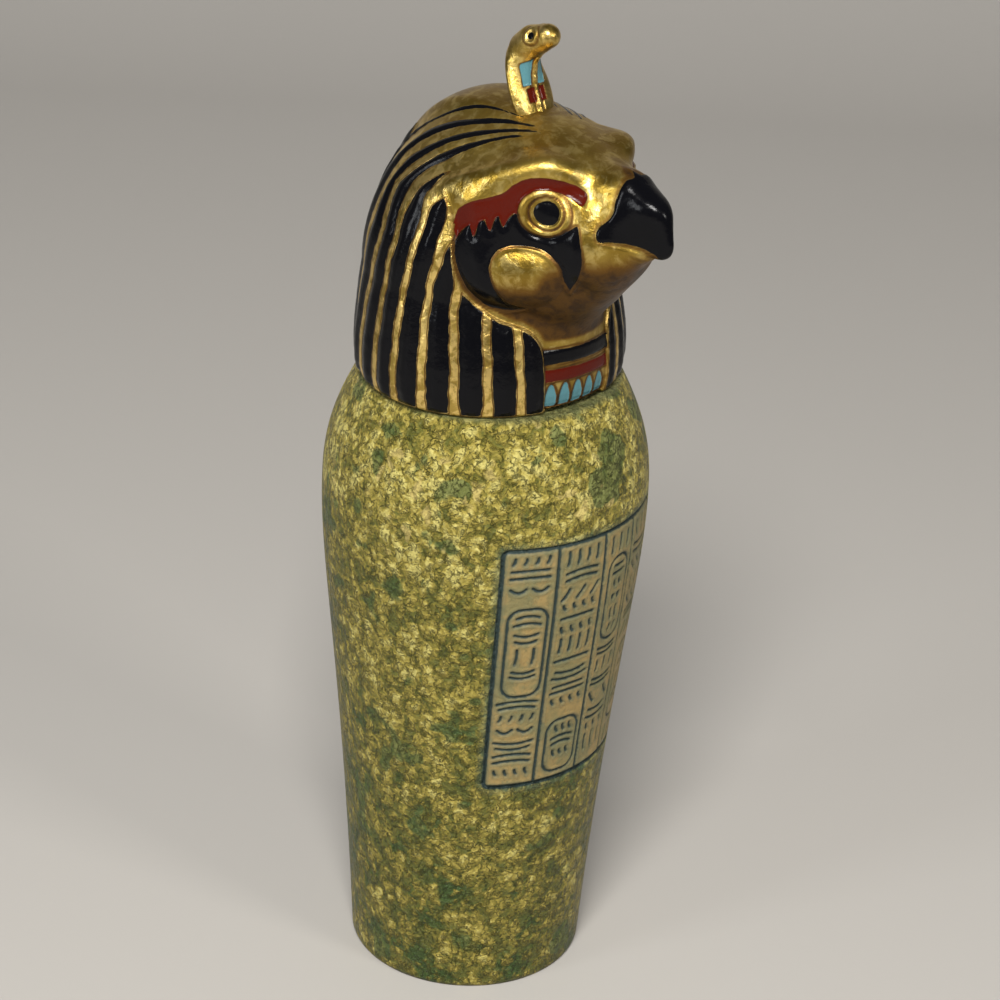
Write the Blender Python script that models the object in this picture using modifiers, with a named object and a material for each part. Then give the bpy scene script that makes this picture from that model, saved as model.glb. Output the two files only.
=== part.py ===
"""Canopic jar with a falcon-headed lid, a painted cast-resin copy.

Sizes are in millimetres and become metres as each mesh is made. The jar stands on Z = 0 with its
axis on the Z axis, and the falcon faces -Y. The lid's forms are written as forward, side and height,
at the size that they have when the lid is FORM_HEIGHT tall and its seat is FORM_RIM wide.
"""

import math

import bmesh
import bpy
import numpy as np
from mathutils import Vector

MM = 0.001
COLLECTION_NAME = "canopic_jar"
CUTTER_COLLECTION_NAME = "canopic_jar_cutters"

# The jar
JAR_HEIGHT = 124.7
BASE_RADIUS = 22.9
SHOULDER_RADIUS = 31.0
SHOULDER_HEIGHT = 100.0
RIM_RADIUS = 24.5
BASE_ROUNDING = 0.9
WALL = 4.0
FLOOR = 5.0
MOUTH_RADIUS = 18.0
MOUTH_DEPTH = 6.0
JAR_SIDE_COUNT = 56

# The lid
LID_HEIGHT = 67.9
SEAT_GAP = 0.3
PLUG_CLEARANCE = 0.5
PLUG_DEPTH = 5.0
PLUG_CHAMFER = 0.8
PLUG_SIDE_COUNT = 48
HEAD_COLUMN_COUNT = 144
HEAD_ROW_COUNT = 64
HEAD_TRIANGLE_COUNT = 4860
COBRA_COLUMN_COUNT = 16
COBRA_ROW_COUNT = 18

# The incised panel on the jar's front, in millimetres of height and degrees about the axis
PANEL_BOTTOM = 48.7
PANEL_TOP = 101.5
PANEL_HALF_ANGLE = 40.0
PANEL_COLUMN_COUNT = 4
LINE_WIDTH = 0.9
LINE_DEPTH = 0.45
LINE_STEP = 10.0
LINE_TURN = 8.0
STROKE_ROW_COUNT = 7
STROKE_WIDTH = 0.8
STROKE_DEPTH = 0.4

# The size at which the lid's forms are written
FORM_HEIGHT = 67.9
FORM_RIM = 24.5
FORM_SEAT = 125.0

# The rays that find the lid's surface from stems of share, forward, height and lean inside it
RAY_START = 48.0
RAY_STEP_COUNT = 90
RAY_CAUTION = 0.8
FAN_POWER = 1.5
HEAD_STEM = (
    (0.0, 0.0, 125.0, 0.0), (0.017, 0.0, 125.0, 0.0), (0.2, 0.0, 137.0, 0.0), (0.42, 6.0, 153.0, 0.0),
    (0.5, 7.0, 158.0, 0.0),
)
COBRA_STEM = (
    (0.0, 9.1, 175.5, 28.0), (0.3, 6.8, 180.0, 28.0), (0.45, 4.9, 184.0, 18.0), (0.56, 4.9, 187.2, 4.0),
    (0.62, 5.4, 188.9, -25.0), (0.68, 6.6, 189.7, -60.0), (0.8, 9.9, 191.0, -75.0),
)


def empty_scene():
    for old in list(bpy.data.objects):
        bpy.data.objects.remove(old, do_unlink=True)


def new_collection(name):
    made = bpy.data.collections.new(name)
    bpy.context.scene.collection.children.link(made)
    return made


def new_material(name, color, roughness, metallic):
    made = bpy.data.materials.new(name)
    made.use_nodes = True
    shader = made.node_tree.nodes["Principled BSDF"]
    shader.inputs["Base Color"].default_value = (*color, 1.0)
    shader.inputs["Roughness"].default_value = roughness
    shader.inputs["Metallic"].default_value = metallic
    return made


def add_object(name, bm, collection):
    mesh = bpy.data.meshes.new(name)
    bm.to_mesh(mesh)
    bm.free()
    made = bpy.data.objects.new(name, mesh)
    collection.objects.link(made)
    return made


def hide_cutter(cutter):
    cutter.hide_render = True
    cutter.display_type = "WIRE"


def add_boolean(target, cutter, operation):
    step = target.modifiers.new(operation.lower(), "BOOLEAN")
    step.operation = operation
    step.object = cutter


def turned(name, outline, sides, collection):
    """A solid turned about Z from an outline of (radius, height) points."""
    bm = bmesh.new()
    points = [bm.verts.new((radius * MM, 0.0, height * MM)) for radius, height in outline]
    for start, end in zip(points, points[1:]):
        bm.edges.new((start, end))
    made = add_object(name, bm, collection)
    screw = made.modifiers.new("turn", "SCREW")
    screw.steps = sides
    screw.render_steps = sides
    screw.use_merge_vertices = True
    screw.merge_threshold = 0.00001
    screw.use_smooth_shade = True
    return made


# The jar's outline

def bezier(start, start_pull, end_pull, end, share):
    rest = 1.0 - share
    weights = (rest ** 3, 3 * rest ** 2 * share, 3 * rest * share ** 2, share ** 3)
    corners = (start, start_pull, end_pull, end)
    return tuple(sum(w * c[axis] for w, c in zip(weights, corners)) for axis in range(2))


def flank_point(share):
    """The long flank from the base edge, share 0, up to the shoulder, share 1."""
    swell = SHOULDER_RADIUS - BASE_RADIUS
    start = (BASE_RADIUS, 0.0)
    start_pull = (BASE_RADIUS + 0.46 * swell, 0.63 * SHOULDER_HEIGHT)
    end_pull = (SHOULDER_RADIUS, 0.82 * SHOULDER_HEIGHT)
    return bezier(start, start_pull, end_pull, (SHOULDER_RADIUS, SHOULDER_HEIGHT), share)


def shoulder_point(share):
    """The shoulder from its widest place, share 0, up to the rim, share 1."""
    rise = JAR_HEIGHT - SHOULDER_HEIGHT
    start_pull = (SHOULDER_RADIUS, SHOULDER_HEIGHT + 0.36 * rise)
    end_pull = (RIM_RADIUS + 0.87 * (SHOULDER_RADIUS - RIM_RADIUS), SHOULDER_HEIGHT + 0.57 * rise)
    end = (RIM_RADIUS, JAR_HEIGHT)
    return bezier((SHOULDER_RADIUS, SHOULDER_HEIGHT), start_pull, end_pull, end, share)


def outer_outline():
    """Points down the jar's outside from the rim to the base edge."""
    shoulder = [shoulder_point(share) for share in (1.0, 0.86, 0.72, 0.58, 0.42, 0.22)]
    flank = [flank_point(share) for share in (1.0, 0.86, 0.72, 0.56, 0.4, 0.2)]
    edge = flank_point(0.012)
    return shoulder + flank + [(edge[0], BASE_ROUNDING), (BASE_RADIUS - BASE_ROUNDING, 0.0)]


def outer_radius(height):
    points = sorted((point[1], point[0]) for point in outer_outline())
    return float(np.interp(height, [p[0] for p in points], [p[1] for p in points]))


def inner_outline():
    """Points up the hollow from the middle of its floor to the mouth's edge."""
    neck = JAR_HEIGHT - MOUTH_DEPTH
    wide = neck - (outer_radius(neck) - WALL - MOUTH_RADIUS)
    heights = np.linspace(FLOOR, wide, 6)
    walls = [(outer_radius(height) - WALL, float(height)) for height in heights]
    corner = (walls[0][0] - WALL / 2, FLOOR)
    return [(0.0, FLOOR), corner] + walls[1:] + [(MOUTH_RADIUS, neck), (MOUTH_RADIUS, JAR_HEIGHT)]


# The incised panel

def on_jar(angle, height, radius):
    turn = math.radians(angle)
    return Vector((math.sin(turn) * radius, -math.cos(turn) * radius, height)) * MM


def bar(bm, angle, height, turn, rise, depth):
    """An open strip that follows the jar just outside it, turn degrees wide and rise high."""
    columns = math.ceil(turn / LINE_TURN)
    rows = max(1, round(rise / LINE_STEP))
    strip = bmesh.ops.create_grid(bm, x_segments=columns, y_segments=rows, size=0.5)
    for vert in strip["verts"]:
        place = height + vert.co.y * rise
        vert.co = on_jar(angle + vert.co.x * turn, place, outer_radius(place) + depth)


def degrees_across(width, height):
    return math.degrees(width / outer_radius(height))


def panel_uprights():
    bm = bmesh.new()
    height = (PANEL_BOTTOM + PANEL_TOP) / 2
    rise = PANEL_TOP - PANEL_BOTTOM + LINE_WIDTH
    for angle in np.linspace(-PANEL_HALF_ANGLE, PANEL_HALF_ANGLE, PANEL_COLUMN_COUNT + 1):
        bar(bm, float(angle), height, degrees_across(LINE_WIDTH, height), rise, LINE_DEPTH)
    return bm


def panel_levels():
    bm = bmesh.new()
    for height in (PANEL_BOTTOM, PANEL_TOP):
        bar(bm, 0.0, height, 2 * PANEL_HALF_ANGLE, LINE_WIDTH, LINE_DEPTH)
    return bm


def panel_strokes():
    """Rows of short strokes in each column: a level pair and an upright pair, by turns."""
    bm = bmesh.new()
    column = 2 * PANEL_HALF_ANGLE / PANEL_COLUMN_COUNT
    row = (PANEL_TOP - PANEL_BOTTOM) / STROKE_ROW_COUNT
    for column_number in range(PANEL_COLUMN_COUNT):
        middle = -PANEL_HALF_ANGLE + column * (column_number + 0.5)
        for row_number in range(STROKE_ROW_COUNT):
            height = PANEL_BOTTOM + row * (row_number + 0.5)
            for end in (-1, 1):
                reach = 0.5 + 0.1 * end
                if (column_number + row_number) % 2:
                    place = height + 0.2 * end * row
                    bar(bm, middle, place, column * reach, STROKE_WIDTH, STROKE_DEPTH)
                else:
                    width = degrees_across(STROKE_WIDTH, height)
                    bar(bm, middle + 0.22 * end * column, height, width, row * reach, STROKE_DEPTH)
    return bm


def build_jar(parts, cutters):
    outline = inner_outline() + outer_outline() + [(0.0, 0.0)]
    jar = turned("jar_body", outline, JAR_SIDE_COUNT, parts)
    jar.data.materials.append(new_material("green_resin", (0.30, 0.36, 0.13), 0.45, 0.0))
    lines = (("panel_uprights", panel_uprights(), LINE_DEPTH), ("panel_levels", panel_levels(), LINE_DEPTH))
    for name, bm, depth in lines + (("panel_strokes", panel_strokes(), STROKE_DEPTH),):
        cutter = add_object(name, bm, cutters)
        thick = cutter.modifiers.new("thick", "SOLIDIFY")
        thick.thickness = 2 * depth * MM
        thick.offset = -1.0
        hide_cutter(cutter)
        add_boolean(jar, cutter, "DIFFERENCE")
    return jar


# Signed distances from which the lid's forms are joined and cut

def join(a, b, blend):
    share = np.clip(0.5 + 0.5 * (b - a) / blend, 0.0, 1.0)
    return b + (a - b) * share - blend * share * (1.0 - share)


def overlap(a, b, blend):
    return -join(-a, -b, blend)


def ramp(start, end, value):
    share = np.clip((value - start) / (end - start), 0.0, 1.0)
    return share * share * (3.0 - 2.0 * share)


def ellipsoid(place, centre, radii):
    offset = place - np.array(centre)
    near = np.linalg.norm(offset / np.array(radii), axis=-1) + 1e-9
    slope = np.linalg.norm(offset / np.array(radii) ** 2, axis=-1) + 1e-9
    return near * (near - 1.0) / slope


def capsule(place, start, end, start_radius, end_radius):
    start = np.array(start)
    along = np.array(end) - start
    share = np.clip((place - start) @ along / (along @ along), 0.0, 1.0)
    radius = start_radius + share * (end_radius - start_radius)
    return np.linalg.norm(place - start - share[..., None] * along, axis=-1) - radius


# The headcloth: an elliptical skirt, which swells above the seat, under an ellipsoidal dome
CLOTH_BACK = 23.5
CLOTH_SIDE = 25.4
CLOTH_FRONT = 23.2
CLOTH_MEAN = 24.3
DOME_BASE = 146.0
DOME_RISE = 31.2
SKIRT_HEIGHTS = (118.0, 125.0, 126.3, 128.0, 131.0, 134.0, 138.0, 142.0, 146.0)
SKIRT_SHARES = (1.00, 0.99, 1.03, 1.045, 1.050, 1.046, 1.034, 1.02, 1.0)
LAPPET_SHARES = (1.00, 0.99, 1.015, 1.025, 1.022, 1.008, 0.975, 0.93, 0.88)
CROWN_BAND_RISE = 1.2


def headcloth(place):
    forward, side, height = np.moveaxis(place, -1, 0)
    length = np.where(forward < 0.0, CLOTH_BACK, CLOTH_FRONT)
    level = (forward / length) ** 2 + (side / CLOTH_SIDE) ** 2
    frontness = ramp(1.7, 0.7, np.arctan2(np.abs(side), forward))
    skirt_share = np.interp(height, SKIRT_HEIGHTS, SKIRT_SHARES)
    lappet_share = np.interp(height, SKIRT_HEIGHTS, LAPPET_SHARES)
    share = skirt_share * (1.0 - frontness) + lappet_share * frontness
    skirt = (np.sqrt(level) - share) * CLOTH_MEAN
    dome = (np.sqrt(level + ((height - DOME_BASE) / DOME_RISE) ** 2) - 1.0) * CLOTH_MEAN
    tuck = (1.0 - LAPPET_SHARES[-1]) * CLOTH_MEAN * ramp(DOME_BASE + 12.0, DOME_BASE, height)
    cloth = np.where(height < DOME_BASE, skirt, dome + frontness * tuck)
    band = ramp(9.5, 5.5, np.abs(side)) * ramp(DOME_BASE + 4.0, DOME_BASE + 16.0, height)
    return cloth - CROWN_BAND_RISE * band


# The cloth's carving: the face sinks beside its front edge, and pleats fan out from the brow.
# The cheek's chart runs forward and up. A pleat is counted by where a level ray from the fan's
# line through a point meets the skirt's plan, and the line moves from the axis to the brow above
# the skirt. The pleats aren't quite even: at each of PLEAT_HEIGHTS they stand at these even counts.
CLOTH_STEP = 0.9
CLOTH_EDGE = (
    (60.0, 178.0), (8.5, 174.6), (-4.0, 170.2), (-9.6, 167.0), (-8.0, 160.5), (-7.7, 154.5),
    (-5.6, 148.6), (-2.8, 145.8), (3.0, 142.8), (6.6, 141.9), (8.8, 138.8), (9.6, 134.3), (10.0, 128.0),
    (9.4, 120.0),
)
CLOTH_FAR = ((-90.0, 120.0), (-90.0, 220.0), (60.0, 220.0))
STEP_FADE = (170.0, 161.0)
STEP_REACH = 5.0
COLLAR_TOP = 138.0
CHEEK_BOTTOM = 144.0
PLEAT_DEPTH = 0.5
PLEAT_START = 18.0
PLEAT_PITCH = 13.5
FAN_LINE = 18.0
FAN_LEAN = 4.0
FAN_RISE = (141.0, 155.0)
FAN_CROWN = (162.0, 171.0)
FAN_PLAN = (25.6, 26.2)
PLEAT_FADE = (176.0, 166.0)
PLEAT_HEIGHTS = (127.0, 135.0, 142.0, 149.0, 156.0, 163.0, 168.0)
PLEAT_PLACES = (
    (0.0, 0.93, 2.02, 3.07, 4.11, 5.14, 5.97, 7.0, 8.0, 9.0, 10.0),
    (0.0, 1.04, 2.09, 3.12, 4.14, 5.13, 5.97, 7.0, 8.0, 9.0, 10.0),
    (0.0, 1.16, 2.19, 3.27, 4.18, 5.09, 5.89, 6.85, 7.9, 9.0, 10.0),
    (0.0, 1.2, 2.44, 3.52, 4.27, 5.04, 5.83, 6.68, 7.8, 8.95, 10.0),
    (0.0, 1.2, 2.5, 3.62, 4.25, 5.05, 5.87, 6.6, 7.8, 8.95, 10.0),
    (0.0, 1.0, 2.2, 3.4, 4.35, 5.24, 6.15, 6.9, 7.9, 9.0, 10.0),
    (0.0, 1.0, 2.0, 3.1, 4.2, 5.3, 6.25, 7.15, 8.1, 9.0, 10.0),
)
PLEAT_LAST = 10.0


def chart(place):
    forward, side, height = np.moveaxis(place, -1, 0)
    return np.stack(((forward - np.abs(side)) * math.sqrt(0.5), height), axis=-1)


def outline_distance(point, corners):
    """The distance to a closed outline, less than nothing inside it."""
    distance = np.full(point.shape[:-1], 1e9)
    inside = np.zeros(point.shape[:-1], dtype=bool)
    for start, end in zip(corners, corners[1:] + corners[:1]):
        along = np.array(end) - np.array(start)
        offset = point - np.array(start)
        share = np.clip(offset @ along / (along @ along), 0.0, 1.0)
        distance = np.minimum(distance, np.linalg.norm(offset - share[..., None] * along, axis=-1))
        crossing = (start[1] > point[..., 1]) != (end[1] > point[..., 1])
        slope = offset[..., 0] * along[1] - offset[..., 1] * along[0]
        inside ^= crossing & ((slope < 0.0) == (along[1] > 0.0))
    return np.where(inside, -distance, distance)


def pleat_count(place):
    forward, side, height = np.moveaxis(place, -1, 0)
    line = FAN_LINE * ramp(FAN_RISE[0], FAN_RISE[1], height)
    line += FAN_LEAN * ramp(FAN_CROWN[0], FAN_CROWN[1], height)
    ahead = (forward - line) / FAN_PLAN[0]
    beside = np.abs(side) / FAN_PLAN[1]
    squares = np.maximum(ahead ** 2 + beside ** 2, 1e-9)
    middle = ahead * line / FAN_PLAN[0]
    reach = (np.sqrt(middle ** 2 + squares * (1.0 - (line / FAN_PLAN[0]) ** 2)) - middle) / squares
    turn = np.arctan2(reach * beside * FAN_PLAN[1], line + reach * ahead * FAN_PLAN[0])
    count = (np.degrees(turn) - PLEAT_START) / PLEAT_PITCH
    level = np.interp(height, PLEAT_HEIGHTS, range(len(PLEAT_HEIGHTS)))
    settled = 0.0
    for number, places in enumerate(PLEAT_PLACES):
        share = np.clip(1.0 - np.abs(level - number), 0.0, 1.0)
        settled = settled + share * np.interp(count, places, range(len(places)))
    return np.where((count > 0.0) & (count < PLEAT_LAST), settled, count)


def cloth_relief(place):
    height = place[..., 2]
    edge = outline_distance(chart(place), CLOTH_EDGE + CLOTH_FAR)
    fade = ramp(0.0, STEP_REACH, edge) * ramp(COLLAR_TOP, CHEEK_BOTTOM, height)
    sunk = ramp(-0.4, 0.4, edge) * (1.0 - fade) * ramp(STEP_FADE[0], STEP_FADE[1], height)
    pleats = ramp(-0.5, -2.0, edge) * ramp(PLEAT_FADE[0], PLEAT_FADE[1], height) * ramp(125.0, 127.0, height)
    trough = 0.5 + 0.5 * np.cos(2.0 * math.pi * pleat_count(place))
    return CLOTH_STEP * sunk + PLEAT_DEPTH * pleats * trough


# The face: a wedge with a flat cheek on each side, the snout, the jaw, the beak and the throat.
# A limb runs from its first point to its second, with a radius at each. BEAK_SIDE is the flat side
# of the beak: so far forward, it stands so far out, and it draws in by so much a millimetre.
SKULL = ((8.0, 0.0, 158.5), (26.0, 20.0, 18.8))
BROW = ((3.0, 18.0, 162.5), (21.5, 10.0, 169.6), 3.2, 4.0)
SNOUT = ((18.0, 0.0, 163.5), (31.0, 0.0, 165.2), 11.6, 5.2)
CHIN = ((17.0, 0.0, 156.0), (25.5, 0.0, 158.8), 12.0, 10.3)
JOWL = ((12.6, 13.4, 151.9), (19.8, 7.9, 153.4), 5.6, 5.4)
LOWER_BEAK = ((29.5, 0.0, 158.6), (35.6, 0.0, 159.6), 5.0, 2.8)
BEAK = ((27.7, 0.0, 165.6), (11.8, 5.4, 7.3))
BEAK_SIDE = (35.0, 3.3, 0.35)
BEAK_HOOK = ((38.2, 0.0, 165.3), (40.1, 0.0, 161.8), 3.4, 2.8)
CHEEK_PLANE = 23.6
JAW_SLOPE = (0.814, -0.581)
JAW_CORNER = (32.7, 149.3)
EYE_PLACE = (8.4, 164.4)
EYE_RADIUS = 4.9
EYE_RISE = 0.6
PUPIL_RADIUS = 2.5
PUPIL_RISE = 0.5
THROAT = ((2.0, 0.0, 138.0), (20.3, 17.0, 30.0))
NECK = ((19.0, 0.0, 152.0), (15.5, 0.0, 140.0), 9.3, 7.3)


def face(place):
    forward, side, height = np.moveaxis(place, -1, 0)
    mirrored = place.copy()
    mirrored[..., 1] = np.sqrt(side ** 2 + 0.04)
    form = join(ellipsoid(place, *SKULL), capsule(mirrored, *BROW), 4.0)
    form = overlap(form, (forward + mirrored[..., 1]) * math.sqrt(0.5) - CHEEK_PLANE, 3.0)
    form = join(form, capsule(place, *SNOUT), 2.5)
    form = join(form, capsule(place, *CHIN), 3.0)
    form = join(form, capsule(mirrored, *JOWL), 3.0)
    jaw = (forward - JAW_CORNER[0]) * JAW_SLOPE[0] + (height - JAW_CORNER[1]) * JAW_SLOPE[1]
    form = join(overlap(form, jaw, 3.0), capsule(place, *LOWER_BEAK), 2.0)
    beak = join(ellipsoid(place, *BEAK), capsule(place, *BEAK_HOOK), 1.6)
    beak_side = mirrored[..., 1] - BEAK_SIDE[1] + (forward - BEAK_SIDE[0]) * BEAK_SIDE[2]
    form = join(form, overlap(beak, beak_side, 0.8), 1.2)
    eye = np.linalg.norm(chart(place) - np.array(EYE_PLACE), axis=-1)
    form = form - EYE_RISE * ramp(EYE_RADIUS + 0.4, EYE_RADIUS - 0.6, eye)
    return form - PUPIL_RISE * ramp(PUPIL_RADIUS + 0.6, 0.0, eye)


def throat(place):
    return join(ellipsoid(place, *THROAT), capsule(place, *NECK), 3.0)


def head(place):
    form = join(headcloth(place), face(place), 2.0)
    form = join(form, throat(place), 3.0) + cloth_relief(place)
    return overlap(form, FORM_SEAT - place[..., 2], 0.3)


# The rearing cobra: a flat hood that leans back, the neck above it and the head
HOOD_LEAN = 28.0
HOOD_MIDDLE = (6.6, 0.0, 180.2)
HOOD_RADII = (1.6, 4.8, 8.3)
COBRA_NECK = ((4.7, 0.0, 183.5), (5.1, 0.0, 187.9), 2.7, 2.9)
COBRA_HEAD = ((6.8, 0.0, 189.4), (10.3, 0.0, 191.2), 2.95, 2.2)


def cobra(place):
    lean = math.radians(HOOD_LEAN)
    offset = place - np.array(HOOD_MIDDLE)
    along = offset[..., 2] * math.cos(lean) - offset[..., 0] * math.sin(lean)
    through = offset[..., 0] * math.cos(lean) + offset[..., 2] * math.sin(lean)
    hood = ellipsoid(np.stack((through, offset[..., 1], along), axis=-1), (0.0, 0.0, 0.0), HOOD_RADII)
    return join(join(hood, capsule(place, *COBRA_NECK), 2.0), capsule(place, *COBRA_HEAD), 1.0)


def wrapped_sphere(columns, rows, stem, form):
    """A sphere whose vertices move along rays, from a stem inside a form, to its surface.

    The stem has rows of share, forward, height and lean in degrees. Its rings of rays lean with it,
    and from its last row on they close like a fan.
    """
    bm = bmesh.new()
    bmesh.ops.create_uvsphere(bm, u_segments=columns, v_segments=rows, radius=1.0)
    places = np.array([vert.co for vert in bm.verts])
    climb = np.arcsin(np.clip(places[:, 2], -1.0, 1.0)) / math.pi + 0.5
    spread = np.linalg.norm(places[:, :2], axis=1)
    level = np.where(spread[:, None] > 1e-6, places[:, :2] / np.maximum(spread, 1e-9)[:, None], 0.0)
    shares, forwards, heights, leans = zip(*stem)
    lean = np.radians(np.interp(climb, shares, leans))
    origins = np.zeros_like(places)
    origins[:, 0] = np.interp(climb, shares, forwards)
    origins[:, 2] = np.interp(climb, shares, heights)
    fan = np.clip((climb - shares[-1]) / (1.0 - shares[-1]), 0.0, 1.0) ** FAN_POWER * (math.pi / 2)
    fan[climb < 0.001] = -math.pi / 2
    ahead = -level[:, 1] * np.cos(fan)
    rays = np.stack((ahead * np.cos(lean) - np.sin(fan) * np.sin(lean), level[:, 0] * np.cos(fan),
                     ahead * np.sin(lean) + np.sin(fan) * np.cos(lean)), axis=1)
    reach = np.full(len(places), RAY_START)
    for _ in range(RAY_STEP_COUNT):
        reach -= RAY_CAUTION * form(origins + rays * reach[:, None])
    for vert, place in zip(bm.verts, origins + rays * reach[:, None]):
        vert.co = place
    for flat in bm.faces:
        flat.smooth = True
    return bm


def set_form(bm):
    """Turns forms from forward, side and height into the scene's axes, at the lid's own size."""
    across = RIM_RADIUS / FORM_RIM
    rise = LID_HEIGHT / FORM_HEIGHT
    for vert in bm.verts:
        forward, side, height = vert.co
        seat = JAR_HEIGHT + SEAT_GAP
        vert.co = Vector((side * across, -forward * across, seat + (height - FORM_SEAT) * rise)) * MM


def build_lid(parts, cutters):
    bm = wrapped_sphere(HEAD_COLUMN_COUNT, HEAD_ROW_COUNT, HEAD_STEM, head)
    set_form(bm)
    count = len(bm.faces) * 2
    lid = add_object("falcon_lid", bm, parts)
    lid.data.materials.append(new_material("antique_gold", (0.55, 0.36, 0.09), 0.35, 0.9))
    thin = lid.modifiers.new("thin", "DECIMATE")
    thin.ratio = min(1.0, HEAD_TRIANGLE_COUNT / count)
    snake = wrapped_sphere(COBRA_COLUMN_COUNT, COBRA_ROW_COUNT, COBRA_STEM, cobra)
    set_form(snake)
    radius = MOUTH_RADIUS - PLUG_CLEARANCE
    seat = JAR_HEIGHT + SEAT_GAP
    tip = seat - PLUG_DEPTH
    outline = [(0.0, seat + WALL), (radius, seat + WALL), (radius, tip + PLUG_CHAMFER)]
    outline += [(radius - PLUG_CHAMFER, tip), (0.0, tip)]
    joined = (add_object("cobra", snake, cutters), turned("plug", outline, PLUG_SIDE_COUNT, cutters))
    for cutter in joined:
        hide_cutter(cutter)
        add_boolean(lid, cutter, "UNION")
    return lid


def build():
    empty_scene()
    parts = new_collection(COLLECTION_NAME)
    cutters = new_collection(CUTTER_COLLECTION_NAME)
    build_jar(parts, cutters)
    build_lid(parts, cutters)


build()
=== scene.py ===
"""Canopic jar with a falcon-headed lid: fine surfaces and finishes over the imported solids.

Forms are written in millimetres as forward, side and height. In the scene the falcon faces -Y.
"""
import math

import bpy
import numpy as np
from mathutils import Matrix, Vector


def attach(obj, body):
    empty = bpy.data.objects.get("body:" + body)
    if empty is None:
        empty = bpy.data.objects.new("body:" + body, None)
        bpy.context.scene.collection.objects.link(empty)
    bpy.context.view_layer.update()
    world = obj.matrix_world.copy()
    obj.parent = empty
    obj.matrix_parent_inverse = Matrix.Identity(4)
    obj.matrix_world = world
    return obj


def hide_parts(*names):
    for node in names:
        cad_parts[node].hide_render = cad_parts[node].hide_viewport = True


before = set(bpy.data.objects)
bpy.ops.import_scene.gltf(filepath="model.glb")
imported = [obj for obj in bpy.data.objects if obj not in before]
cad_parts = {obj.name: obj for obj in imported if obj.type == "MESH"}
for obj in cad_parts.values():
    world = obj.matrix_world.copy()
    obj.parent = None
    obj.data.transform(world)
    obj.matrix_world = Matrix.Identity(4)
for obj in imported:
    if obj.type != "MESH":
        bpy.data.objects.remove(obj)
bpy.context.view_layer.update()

MM = 0.001
SINE_45 = math.sqrt(0.5)


# Camera, floor and light. The jar stands turned by 45 degrees to the camera

CAMERA_LENS, CAMERA_SENSOR, CAMERA_NEAR = 108.0, 36.0, 0.02
CAMERA_ANGLES = (0.332, 26.64, 2.86)  # yaw, pitch and roll
CAMERA_PLACE = (0.0, -0.511, 0.3531)
FLOOR_FRONT, FLOOR_REACH, WALL_PLACE, WALL_TOP, WALL_CURVE = -1.2, 1.6, 0.75, 0.9, 0.25
FLOOR_COLOR, FLOOR_ROUGHNESS = (0.44, 0.42, 0.39, 1.0), 0.6
WORLD_COLOR, WORLD_STRENGTH = (0.85, 0.90, 1.0, 1.0), 0.13
LIGHT_TARGET = (0.0, 0.0, 0.12)
LIGHTS = (  # name, place, size, power and colour
    ("window", (-0.52, -0.42, 0.86), (0.34, 0.26), 14.5, (1.0, 0.98, 0.95)),
    ("front", (0.10, -0.95, 0.62), (0.24, 0.20), 3.6, (1.0, 0.97, 0.92)),
    ("left", (-0.85, 0.15, 0.35), (0.20, 0.30), 2.0, (0.95, 0.98, 1.0)),
)


def add_camera():
    data = bpy.data.cameras.new("camera")
    data.lens, data.sensor_width, data.clip_start = CAMERA_LENS, CAMERA_SENSOR, CAMERA_NEAR
    camera = bpy.data.objects.new("camera", data)
    bpy.context.scene.collection.objects.link(camera)
    yaw, pitch, roll = (math.radians(angle) for angle in CAMERA_ANGLES)
    level = math.cos(pitch)
    ahead = np.array((math.sin(yaw) * level, math.cos(yaw) * level, -math.sin(pitch)))
    right = np.array((math.cos(yaw), -math.sin(yaw), 0.0))
    up = np.cross(right, ahead)
    right, up = (math.cos(roll) * right + math.sin(roll) * up,
                 -math.sin(roll) * right + math.cos(roll) * up)
    turned = np.array(((SINE_45, SINE_45, 0.0), (-SINE_45, SINE_45, 0.0), (0.0, 0.0, 1.0)))
    axes = turned @ np.stack((right, up, -ahead), axis=1)
    place = turned @ np.array(CAMERA_PLACE)
    camera.matrix_world = Matrix([[*axes[i], place[i]] for i in range(3)] + [[0.0, 0.0, 0.0, 1.0]])
    bpy.context.scene.camera = camera


def add_area(name, place, size, power, color):
    data = bpy.data.lights.new(name, "AREA")
    data.shape = "RECTANGLE"
    data.size, data.size_y = size
    data.energy = power
    data.color = color
    lamp = bpy.data.objects.new(name, data)
    bpy.context.scene.collection.objects.link(lamp)
    away = Vector(place) - Vector(LIGHT_TARGET)
    lamp.matrix_world = Matrix.Translation(place) @ away.to_track_quat("Z", "Y").to_matrix().to_4x4()


def add_stage():
    """A pale floor that curves up into a wall behind the jar."""
    mesh = bpy.data.meshes.new("floor")
    bend = WALL_PLACE - WALL_CURVE
    rows = [(FLOOR_FRONT, 0.0), (bend, 0.0)]
    for angle in np.linspace(0.1, math.pi / 2, 12):
        rows.append((bend + WALL_CURVE * math.sin(angle), WALL_CURVE - WALL_CURVE * math.cos(angle)))
    rows.append((WALL_PLACE, WALL_TOP))
    points = []
    for back, height in rows:
        for across in (-FLOOR_REACH, FLOOR_REACH):
            points.append((across * SINE_45 + back * SINE_45, -across * SINE_45 + back * SINE_45, height))
    faces = [(2 * i, 2 * i + 1, 2 * i + 3, 2 * i + 2) for i in range(len(rows) - 1)]
    mesh.from_pydata(points, [], faces)
    mesh.polygons.foreach_set("use_smooth", [True] * len(faces))
    floor = bpy.data.objects.new("floor", mesh)
    bpy.context.scene.collection.objects.link(floor)
    made = bpy.data.materials.new("floor")
    made.use_nodes = True
    shader = made.node_tree.nodes["Principled BSDF"]
    shader.inputs["Base Color"].default_value = FLOOR_COLOR
    shader.inputs["Roughness"].default_value = FLOOR_ROUGHNESS
    mesh.materials.append(made)


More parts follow.
